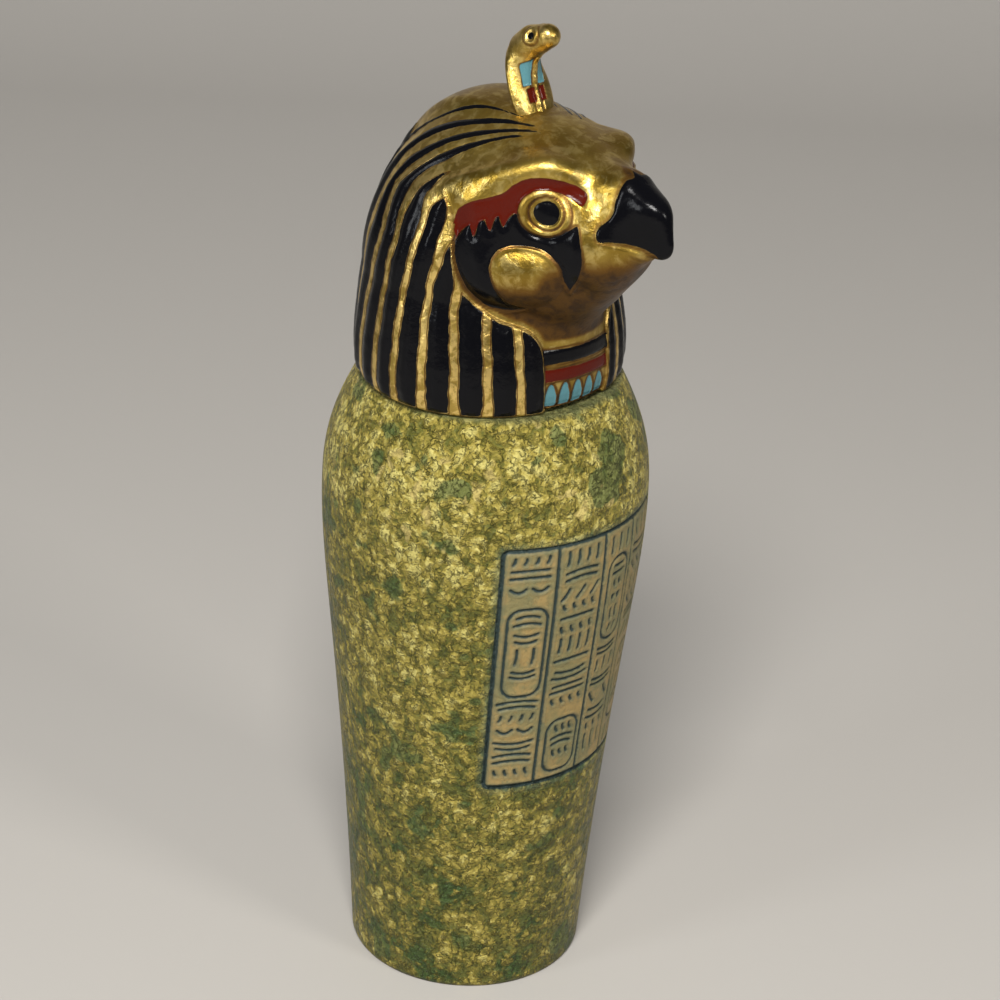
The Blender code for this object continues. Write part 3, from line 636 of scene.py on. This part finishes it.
def build_lid(material):
    head_grid = wrapped_grid(*HEAD_GRID, HEAD_STEM, HEAD_STEM[1][0], head, HEAD_CROWD)
    points, faces, regions = ringed(head, head_detail, head_grid, 0)
    cobra_grid = wrapped_grid(*COBRA_GRID, COBRA_STEM, 0.0, cobra, 0.0)
    more, more_faces, more_regions = ringed(cobra, cobra_detail, cobra_grid, len(points))
    plug, plug_rows, plug_columns, plug_regions = plug_rings()
    plug_faces = grid_faces(plug_rows, plug_columns, len(points) + len(more))
    points = np.concatenate((points, more, plug))
    joined = {name: np.concatenate((regions[name], more_regions[name], plug_regions[name]))
              for name in regions}
    lid = add_piece("falcon_lid_fine", to_scene(points), faces + more_faces + plug_faces, joined, material)
    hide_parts("falcon_lid")


# The jar

BASE_RADIUS, SHOULDER_RADIUS, SHOULDER_HEIGHT, RIM_RADIUS, JAR_HEIGHT = 22.9, 31.0, 100.0, 24.5, 124.7
WALL, FLOOR, MOUTH_RADIUS, MOUTH_DEPTH, RIM_EDGE = 4.0, 5.0, 18.0, 6.0, 0.3
PANEL_BOTTOM, PANEL_TOP, PANEL_HALF_ANGLE = 48.7, 101.5, 40.0
PANEL_DIVIDERS = (-18.5, 3.0, 21.0)
PANEL_FRAMES = ((89.0, 69.5), (62.3, 50.3), (95.0, 77.0), (72.0, 55.0))
PANEL_SCALE, PANEL_TAPER = 28.6, 0.034
PANEL_CORNER, PANEL_SINK, BORDER_HALF, DIVIDER_HALF = 1.0, 0.12, 0.42, 0.30
# By kind: upright ticks, slanting ticks, level bars, bows, pairs of small bows, and dots
STROKE_HEIGHTS = ((2.4, 3.8), (2.0, 3.2), (1.6, 2.6), (1.8, 2.8), (1.8, 2.4), (1.0, 1.3))
STROKE_PITCHES = {0: 1.9, 1: 2.3, 5: 1.7}
STROKE_LEANS = {0: 0.10, 1: 0.75, 5: 0.2}
STROKE_BOWS = {2: 0.10, 3: 0.45}
STROKE_GAPS = (1.0, 1.4)
STROKE_SEED, STROKE_HALF, INK_DEPTH = 7, 0.25, 0.42
FINE_COLUMNS, PLAIN_COLUMNS, PANEL_MARGIN = 190, 112, 1.5
SHOULDER_ROWS, PANEL_ROWS, FOOT_ROWS, INSIDE_ROWS = 26, 206, 44, 14


def bezier(start, start_pull, end_pull, end, share):
    rest = 1.0 - share
    weights = (rest ** 3, 3 * rest ** 2 * share, 3 * rest * share ** 2, share ** 3)
    corners = (start, start_pull, end_pull, end)
    return sum(weight[:, None] * np.array(corner) for weight, corner in zip(weights, corners))


def outer_outline():
    """Radius and height up the outside of the jar, close together."""
    swell = SHOULDER_RADIUS - BASE_RADIUS
    flank = bezier((BASE_RADIUS, 0.0), (BASE_RADIUS + 0.46 * swell, 0.63 * SHOULDER_HEIGHT),
                   (SHOULDER_RADIUS, 0.82 * SHOULDER_HEIGHT), (SHOULDER_RADIUS, SHOULDER_HEIGHT),
                   np.linspace(0.0, 1.0, 200))
    rise = JAR_HEIGHT - SHOULDER_HEIGHT
    pull = RIM_RADIUS + 0.87 * (SHOULDER_RADIUS - RIM_RADIUS)
    shoulder = bezier((SHOULDER_RADIUS, SHOULDER_HEIGHT),
                      (SHOULDER_RADIUS, SHOULDER_HEIGHT + 0.36 * rise),
                      (pull, SHOULDER_HEIGHT + 0.57 * rise), (RIM_RADIUS, JAR_HEIGHT),
                      np.linspace(0.0, 1.0, 80))
    return np.concatenate((flank, shoulder[1:]))


OUTLINE = outer_outline()


def outer_radius(height):
    return np.interp(height, OUTLINE[:, 1], OUTLINE[:, 0])


def panel_strokes(random):
    """Rows of short strokes down each column of the panel, as lines of (across, up) points."""
    edges = (-PANEL_HALF_ANGLE,) + PANEL_DIVIDERS + (PANEL_HALF_ANGLE,)
    lines = []
    for left, right, (frame_top, frame_bottom) in zip(edges, edges[1:], PANEL_FRAMES):
        low, high = (math.radians(angle) * PANEL_SCALE for angle in (left, right))
        middle, half = (low + high) / 2, (high - low) / 2 - 1.2
        lines.append(frame_line(middle + 0.3, half - 0.3, frame_top, frame_bottom))
        top = PANEL_TOP - 1.6
        while top > PANEL_BOTTOM + 2.4:
            framed = frame_bottom < top < frame_top + 0.8
            if framed and top > frame_top - 1.4:
                top = frame_top - 1.4
            kind = int(random.integers(0, len(STROKE_HEIGHTS)))
            tall = min(float(random.uniform(*STROKE_HEIGHTS[kind])), top - PANEL_BOTTOM - 1.0)
            if not framed and frame_top < top and top - tall < frame_top + 0.9:
                top = frame_top
                continue
            if framed and top - tall < frame_bottom + 1.2:
                top = frame_bottom - 1.2
                continue
            place, reach = middle + 0.3 * framed, half - 1.6 * framed
            lines += stroke_row(kind, place, reach, top - tall / 2, tall / 2, random)
            top -= tall + float(random.uniform(*STROKE_GAPS))
    return lines


def frame_line(middle, half, top, bottom):
    """A long rounded frame about some of the rows, closed."""
    corner = min(half, 2.6)
    line = []
    for turn, x, y in ((0.0, half - corner, top - corner), (90.0, corner - half, top - corner),
                       (180.0, corner - half, bottom + corner), (270.0, half - corner, bottom + corner)):
        for angle in np.radians(np.linspace(turn, turn + 90.0, 6)):
            line.append((middle + x + corner * math.cos(angle), y + corner * math.sin(angle)))
    return line + line[:1]


def stroke_row(kind, middle, half, height, tall, random):
    """One row of strokes of a kind."""
    along = np.linspace(-1.0, 1.0, 7)
    flip = float(random.choice((-1.0, 1.0)))
    made = []
    if kind in STROKE_PITCHES:
        count = max(2, int(2.0 * half / STROKE_PITCHES[kind]))
        for place in np.linspace(-1.0, 1.0, count) * (half - 0.9) + middle:
            lean = STROKE_LEANS[kind] * flip
            reach = tall * float(random.uniform(0.75, 1.0))
            x = place + along * lean + 0.12 * flip * (1.0 - along ** 2)
            made.append(list(zip(x.tolist(), (height + along * reach).tolist())))
    elif kind in STROKE_BOWS:
        levels = (-0.62, 0.62) if tall > 0.9 else (0.0,)
        for level in levels:
            reach = half * float(random.uniform(0.8, 1.0))
            bow = STROKE_BOWS[kind] * flip
            y = height + level * tall + bow * (1.0 - along ** 2)
            made.append(list(zip((middle + along * reach).tolist(), y.tolist())))
    else:
        for place in (-0.5, 0.5):
            x = middle + place * half + along * (half / 2.0 - 0.6)
            y = height + flip * tall * 0.7 * (0.5 - along ** 2)
            made.append(list(zip(x.tolist(), y.tolist())))
    return made


def jar_angles():
    """Columns about the jar, close together across the panel."""
    reach = math.radians(PANEL_HALF_ANGLE + 2.5)
    fine = np.linspace(-reach, reach, FINE_COLUMNS, endpoint=False)
    plain = np.linspace(reach, 2.0 * math.pi - reach, PLAIN_COLUMNS, endpoint=False)
    return np.concatenate((fine, plain))


def jar_detail(angle, height):
    """Relief on the jar's outside, and the panel's and the strokes' distances."""
    flat = np.stack((angle * (PANEL_SCALE + PANEL_TAPER * (height - PANEL_BOTTOM)), height), axis=-1)
    half = math.radians(PANEL_HALF_ANGLE) * PANEL_SCALE
    middle, tall = (PANEL_TOP + PANEL_BOTTOM) / 2, (PANEL_TOP - PANEL_BOTTOM) / 2
    out = np.abs(flat - np.array((0.0, middle))) - np.array((half, tall)) + PANEL_CORNER
    panel = np.linalg.norm(np.maximum(out, 0.0), axis=-1) + np.minimum(out.max(-1), 0.0) - PANEL_CORNER
    near = panel < PANEL_MARGIN
    ink = np.full(len(flat), FAR)
    inner = flat[near]
    lines = np.full(len(inner), FAR)
    for angle_across in PANEL_DIVIDERS:
        place = math.radians(angle_across) * PANEL_SCALE
        lines = np.minimum(lines, np.abs(inner[:, 0] - place) - DIVIDER_HALF)
    lines = np.maximum(lines, panel[near])
    for stroke in panel_strokes(np.random.default_rng(STROKE_SEED)):
        lines = np.minimum(lines, path_distance(inner, stroke, False) - STROKE_HALF)
    ink[near] = lines
    ink = np.minimum(ink, np.abs(panel) - BORDER_HALF)
    relief = -INK_DEPTH * ramp(0.22, -0.22, ink) - PANEL_SINK * ramp(0.6, -0.6, panel)
    relief += 0.10 * groove(ink - 0.45, 0.25) * (panel < 0.0)
    return relief, {"panel": panel, "ink": ink}


def jar_profile():
    """Radius and height from the middle of the floor inside, over the rim and down to the foot."""
    neck = JAR_HEIGHT - MOUTH_DEPTH
    wide = neck - (outer_radius(neck) - WALL - MOUTH_RADIUS)
    foot = outer_radius(FLOOR)
    inside = [(foot - 1.5 * WALL, FLOOR), (foot - WALL - 0.4, FLOOR + 0.6)]
    inside += [(outer_radius(h) - WALL, h) for h in np.linspace(FLOOR + 2.0, wide, INSIDE_ROWS)]
    inside += [(MOUTH_RADIUS, neck), (MOUTH_RADIUS, JAR_HEIGHT - RIM_EDGE),
               (MOUTH_RADIUS + RIM_EDGE, JAR_HEIGHT)]
    top, bottom = PANEL_TOP + PANEL_MARGIN, PANEL_BOTTOM - PANEL_MARGIN
    heights = np.concatenate((np.linspace(JAR_HEIGHT, top, SHOULDER_ROWS, endpoint=False),
                              np.linspace(top, bottom, PANEL_ROWS, endpoint=False),
                              np.linspace(bottom, 0.9, FOOT_ROWS)))
    outside = [(outer_radius(h), h) for h in heights]
    outside[0] = (RIM_RADIUS - RIM_EDGE, JAR_HEIGHT)
    outside += [(BASE_RADIUS - 0.22, 0.25), (BASE_RADIUS - 0.8, 0.0)]
    return np.array(inside + outside), len(inside)


def build_jar(material):
    angles = jar_angles()
    columns = len(angles)
    profile, inside_rows = jar_profile()
    rows = len(profile)
    radius = np.repeat(profile[:, 0], columns)
    height = np.repeat(profile[:, 1], columns)
    angle = np.tile(angles, rows)
    relief, regions = jar_detail(np.where(angle > math.pi, angle - 2.0 * math.pi, angle), height)
    outer = np.repeat(np.arange(rows) > inside_rows, columns)
    radius = radius + np.where(outer, relief, 0.0)
    for name in regions:
        regions[name] = np.where(outer, regions[name], FAR)
    points = np.stack((np.sin(angle) * radius, -np.cos(angle) * radius, height), axis=-1)
    points = np.concatenate((points, ((0.0, 0.0, FLOOR), (0.0, 0.0, 0.0)))) * MM
    regions = {name: np.concatenate((value, (FAR, FAR))) for name, value in regions.items()}
    regions["inside"] = np.concatenate((np.where(outer, 0.0, 1.0), (1.0, 0.0)))
    jar = add_piece("jar_body_fine", points, grid_faces(rows, columns), regions, material)
    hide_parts("jar_body")


# Materials

GOLD = ((0.280, 0.178, 0.026), (0.430, 0.298, 0.062))
# Worn gold is the paint's uneven tone; the pleat highlight gold is a painted highlight on the lower pleats
WORN_GOLD, PLEAT_HIGHLIGHT_GOLD = (0.720, 0.550, 0.190), (0.860, 0.620, 0.210)
# Light and heavy wash colours: brown wash in grooves, and painted shade under the chin and on faces turned
# down
WASH_AND_SHADE = ((0.140, 0.066, 0.010), (0.036, 0.016, 0.004))
BRICK_RED, TURQUOISE = (0.068, 0.0055, 0.002), (0.075, 0.190, 0.215)
GLOSS_BLACK = (0.0022, 0.0022, 0.0030)
RESIN = ((0.052, 0.086, 0.022), (0.118, 0.118, 0.024))
OCHRES = (
    (0.450, 0.520, (0.200, 0.170, 0.030)),
    (0.505, 0.570, (0.350, 0.280, 0.056)),
    (0.560, 0.640, (0.530, 0.460, 0.140)),
)
BARE_PATCH, CRUST_SEAM = (0.056, 0.098, 0.030), (0.030, 0.034, 0.006)
SHOULDER_BLOB, INSIDE_GREEN = (0.520, 0.410, 0.140), (0.120, 0.125, 0.050)
PANEL_TAN = ((0.190, 0.165, 0.072), (0.290, 0.205, 0.078))
PANEL_STAIN, PANEL_HALO = (0.150, 0.155, 0.078), (0.060, 0.110, 0.085)
INK, INK_SMEAR = (0.020, 0.036, 0.036), (0.095, 0.110, 0.070)
PAINT_SHINE, GOLD_SHINE, RESIN_SHINE = 0.13, 0.5, 0.18


class Paint:
    """A short way to lay out a material's nodes."""

    def __init__(self, name):
        self.material = bpy.data.materials.new(name)
        self.material.use_nodes = True
        self.nodes = self.material.node_tree.nodes
        self.links = self.material.node_tree.links
        self.shader = self.nodes["Principled BSDF"]
        self.place = self.nodes.new("ShaderNodeTexCoord").outputs["Object"]

    def feed(self, socket, value):
        if isinstance(value, bpy.types.NodeSocket):
            self.links.new(value, socket)
        elif isinstance(value, tuple) and len(value) == 3 and socket.type == "RGBA":
            socket.default_value = (*value, 1.0)
        else:
            socket.default_value = value

    def attribute(self, name):
        node = self.nodes.new("ShaderNodeAttribute")
        node.attribute_name = name
        return node.outputs["Fac"]

    def math(self, operation, a, b=0.0, clamp=False):
        node = self.nodes.new("ShaderNodeMath")
        node.operation = operation
        node.use_clamp = clamp
        self.feed(node.inputs[0], a)
        self.feed(node.inputs[1], b)
        return node.outputs[0]

    def times(self, a, b):
        return self.math("MULTIPLY", a, b)

    def plus(self, a, b):
        return self.math("ADD", a, b)

    def minus(self, a, b):
        return self.math("SUBTRACT", a, b)

    def away(self, value, middle):
        """How far a value is from a middle one."""
        return self.math("ABSOLUTE", self.minus(value, middle))

    def span(self, value, low, high, to_low=0.0, to_high=1.0):
        """A smooth step from to_low, where the value is low, to to_high."""
        node = self.nodes.new("ShaderNodeMapRange")
        node.interpolation_type = "SMOOTHSTEP"
        for socket, number in zip(node.inputs[1:5], (low, high, to_low, to_high)):
            socket.default_value = number
        self.feed(node.inputs[0], value)
        return node.outputs[0]

    def stretched(self, scale, turn, place):
        node = self.nodes.new("ShaderNodeMapping")
        node.inputs["Scale"].default_value = scale
        node.inputs["Rotation"].default_value = turn
        self.links.new(place, node.inputs["Vector"])
        return node.outputs["Vector"]

    def warped(self, scale, reach):
        """The place, pushed about by noise up to half of reach in metres."""
        push = self.nodes.new("ShaderNodeTexNoise")
        push.inputs["Scale"].default_value = scale
        self.links.new(self.place, push.inputs["Vector"])
        node = self.nodes.new("ShaderNodeVectorMath")
        node.operation = "MULTIPLY_ADD"
        self.links.new(push.outputs["Color"], node.inputs[0])
        node.inputs[1].default_value = (reach, reach, reach)
        self.links.new(self.place, node.inputs[2])
        return node.outputs[0]

    def noise(self, scale, detail=3.0, rough=0.5, twist=0.0, place=None):
        node = self.nodes.new("ShaderNodeTexNoise")
        node.inputs["Scale"].default_value = scale
        node.inputs["Detail"].default_value = detail
        node.inputs["Roughness"].default_value = rough
        node.inputs["Distortion"].default_value = twist
        self.links.new(place or self.place, node.inputs["Vector"])
        return node.outputs["Fac"]

    def cells(self, scale, place):
        """Random cells: the distance to the middle of each, and a tone of its own."""
        node = self.nodes.new("ShaderNodeTexVoronoi")
        node.inputs["Scale"].default_value = scale
        self.links.new(place, node.inputs["Vector"])
        return node.outputs["Distance"], node.outputs["Color"]

    def mix(self, share, a, b):
        """From colour a to colour b."""
        node = self.nodes.new("ShaderNodeMix")
        node.data_type = "RGBA"
        self.feed(node.inputs["Factor"], share)
        self.feed(node.inputs[6], a)
        self.feed(node.inputs[7], b)
        return node.outputs[2]

    def blend(self, share, a, b):
        """From number a to number b."""
        node = self.nodes.new("ShaderNodeMix")
        self.feed(node.inputs["Factor"], share)
        self.feed(node.inputs[2], a)
        self.feed(node.inputs[3], b)
        return node.outputs[0]

    def bump(self, height, strength, distance, normal=None):
        node = self.nodes.new("ShaderNodeBump")
        node.inputs["Strength"].default_value = strength
        node.inputs["Distance"].default_value = distance
        self.links.new(height, node.inputs["Height"])
        if normal is not None:
            self.links.new(normal, node.inputs["Normal"])
        return node.outputs["Normal"]

    def finish(self, color, roughness, metallic, normal):
        self.feed(self.shader.inputs["Base Color"], color)
        self.feed(self.shader.inputs["Roughness"], roughness)
        self.feed(self.shader.inputs["Metallic"], metallic)
        self.links.new(normal, self.shader.inputs["Normal"])
        return self.material


def lid_paint():
    """Antique gold with a brown wash and painted shade, brighter gold on the lower pleats as a painted
    highlight, and glossy black, brick red and turquoise laid over it by hand.
    """
    p = Paint("gold_and_paint")
    wander = p.times(p.minus(p.noise(500.0, 2.0), 0.5), 0.40)
    masks = {}
    for name in ("black", "red", "blue"):
        masks[name] = p.span(p.plus(p.attribute(name), wander), -0.06, 0.10, 1.0, 0.0)
    cloud = p.noise(110.0, 4.0, 0.6)
    speck = p.noise(1500.0, 3.0, 0.6)
    worn = p.noise(460.0, 4.0, 0.6, 0.4)
    gold = p.mix(p.span(cloud, 0.35, 0.68), *GOLD)
    gold = p.mix(p.span(worn, 0.46, 0.66, 0.0, 0.60), gold, WORN_GOLD)
    pleated = p.attribute("pleated")
    # Painted highlight: lighter gold on the pleats, fading out towards the crown
    gold = p.mix(p.times(pleated, p.span(worn, 0.40, 0.56, 0.15, 0.85)), gold, PLEAT_HIGHLIGHT_GOLD)
    line = p.span(p.away(p.attribute("black"), 0.16), 0.0, 0.24, 0.85, 0.0)
    # The wash share darkens the gold: brown wash in grooves and along the stripes' edges, and painted shade
    # under the chin, on faces turned down and on the crown
    wash_and_shade = p.math("MAXIMUM", p.attribute("wash_and_shade"), p.times(line, pleated))
    wash_and_shade = p.math("MULTIPLY", wash_and_shade, p.span(worn, 0.25, 0.6, 1.0, 0.75), clamp=True)
    gold = p.mix(p.span(wash_and_shade, 0.0, 0.65), gold, WASH_AND_SHADE[0])
    gold = p.mix(p.span(wash_and_shade, 0.50, 1.0), gold, WASH_AND_SHADE[1])
    color = p.mix(masks["red"], gold, BRICK_RED)
    color = p.mix(masks["blue"], color, TURQUOISE)
    color = p.mix(masks["black"], color, GLOSS_BLACK)
    painted = p.math("MAXIMUM", masks["black"], p.math("MAXIMUM", masks["red"], masks["blue"]))
    metallic = p.minus(1.0, p.math("MAXIMUM", painted, p.times(wash_and_shade, 0.35)))
    gold_rough = p.plus(p.span(cloud, 0.3, 0.7, 0.30, 0.40), p.times(wash_and_shade, 0.12))
    roughness = p.blend(painted, gold_rough, p.span(speck, 0.3, 0.7, 0.13, 0.22))
    p.feed(p.shader.inputs["Specular IOR Level"], p.blend(painted, GOLD_SHINE, PAINT_SHINE))
    seam = p.span(p.away(p.attribute("black"), 0.12), 0.0, 0.30, 0.0, 0.5)
    normal = p.bump(seam, 0.35, 0.00020, p.bump(speck, 0.35, 0.00012))
    pressed = p.plus(p.times(pleated, 0.40), 0.25)
    rough_share = p.times(pressed, p.blend(painted, 1.0, 0.3))
    normal = p.bump(p.times(worn, rough_share), 0.9, 0.00060, normal)
    return p.finish(color, roughness, metallic, normal)


def jar_paint():
    """Cast resin in mottled greens under a crust of ochre dry brushing, with a tan incised panel; the
    mottle gets lighter towards the shoulder as painted light from above.
    """
    p = Paint("mottled_resin")
    bent = p.warped(420.0, 0.0022)
    broad = p.noise(55.0, 3.0, 0.6)
    middle = p.noise(170.0, 4.0, 0.6, 0.0, bent)
    fine = p.noise(900.0, 4.0, 0.65)
    dome, shade = p.cells(620.0, p.stretched((1.0, 1.0, 0.45), (0.9, 0.5, 0.3), bent))
    second, second_shade = p.cells(520.0, p.stretched((0.5, 1.0, 1.0), (0.4, -0.6, 0.9), bent))
    dabs = p.plus(p.times(shade, 0.5), p.times(second_shade, 0.5))
    flakes = p.times(p.plus(dome, second), -1.0)
    height = p.nodes.new("ShaderNodeSeparateXYZ")
    p.links.new(p.place, height.inputs[0])
    # Painted light: the mottle and the ochre crust get lighter up towards the shoulder, as if lit from
    # above
    top = p.span(height.outputs["Z"], 0.050, 0.118, 0.01, 0.13)
    tone = p.plus(p.times(broad, 0.45), p.plus(p.times(middle, 0.55), top))
    crust = p.plus(p.times(tone, 0.50), p.times(dabs, 0.22))
    crust = p.plus(crust, p.times(fine, 0.28))
    crust = p.plus(crust, p.times(p.plus(flakes, 1.05), 0.10))
    color = p.mix(p.span(tone, 0.38, 0.50), *RESIN)
    for low, high, ochre in OCHRES:
        color = p.mix(p.span(crust, low, high), color, ochre)
    patch = p.span(p.plus(p.noise(120.0, 2.0, 0.5), p.times(dabs, 0.12)), 0.655, 0.700, 0.0, 0.75)
    color = p.mix(patch, color, BARE_PATCH)
    seam = p.away(p.noise(560.0, 4.0, 0.65, 0.0, bent), 0.5)
    seam = p.times(p.span(seam, 0.0, 0.060, 1.0, 0.0), p.span(fine, 0.36, 0.56, 0.10, 0.85))
    color = p.mix(seam, color, CRUST_SEAM)
    few = p.times(p.span(broad, 0.52, 0.60), p.span(height.outputs["Z"], 0.092, 0.104))
    blob = p.span(p.noise(330.0, 1.0, 0.5), 0.60, 0.66, 0.0, 0.7)
    color = p.mix(p.times(blob, few), color, SHOULDER_BLOB)

    wander = p.times(p.minus(p.noise(1100.0, 2.0), 0.5), 0.35)
    panel_far = p.plus(p.attribute("panel"), wander)
    ground = p.span(panel_far, -0.2, 0.2, 1.0, 0.0)
    halo = p.times(p.span(panel_far, 0.3, 2.4, 0.55, 0.0), p.span(middle, 0.35, 0.6, 0.4, 1.0))
    color = p.mix(halo, color, PANEL_HALO)
    tan = p.mix(p.span(middle, 0.38, 0.62), *PANEL_TAN)
    tan = p.mix(p.span(fine, 0.5, 0.7, 0.0, 0.5), tan, PANEL_STAIN)
    color = p.mix(ground, color, tan)
    ink_far = p.plus(p.attribute("ink"), wander)
    smear = p.times(p.span(ink_far, 0.1, 0.9, 0.5, 0.0), ground)
    color = p.mix(smear, color, INK_SMEAR)
    ink = p.span(ink_far, -0.10, 0.16, 0.96, 0.0)
    color = p.mix(ink, color, INK)
    inside = p.attribute("inside")
    color = p.mix(p.times(inside, 0.85), color, INSIDE_GREEN)

    roughness = p.blend(ground, p.span(crust, 0.45, 0.65, 0.30, 0.45), 0.42)
    p.feed(p.shader.inputs["Specular IOR Level"], RESIN_SHINE)
    calm = p.minus(1.0, p.times(ground, 0.85))
    form = p.plus(p.times(flakes, 0.55), p.plus(fine, p.times(middle, 0.8)))
    form = p.minus(form, p.times(seam, 0.30))
    normal = p.bump(p.times(form, calm), 1.0, 0.0013)
    return p.finish(color, roughness, 0.0, normal)


add_camera()
add_stage()
add_light()
build_jar(jar_paint())
build_lid(lid_paint())
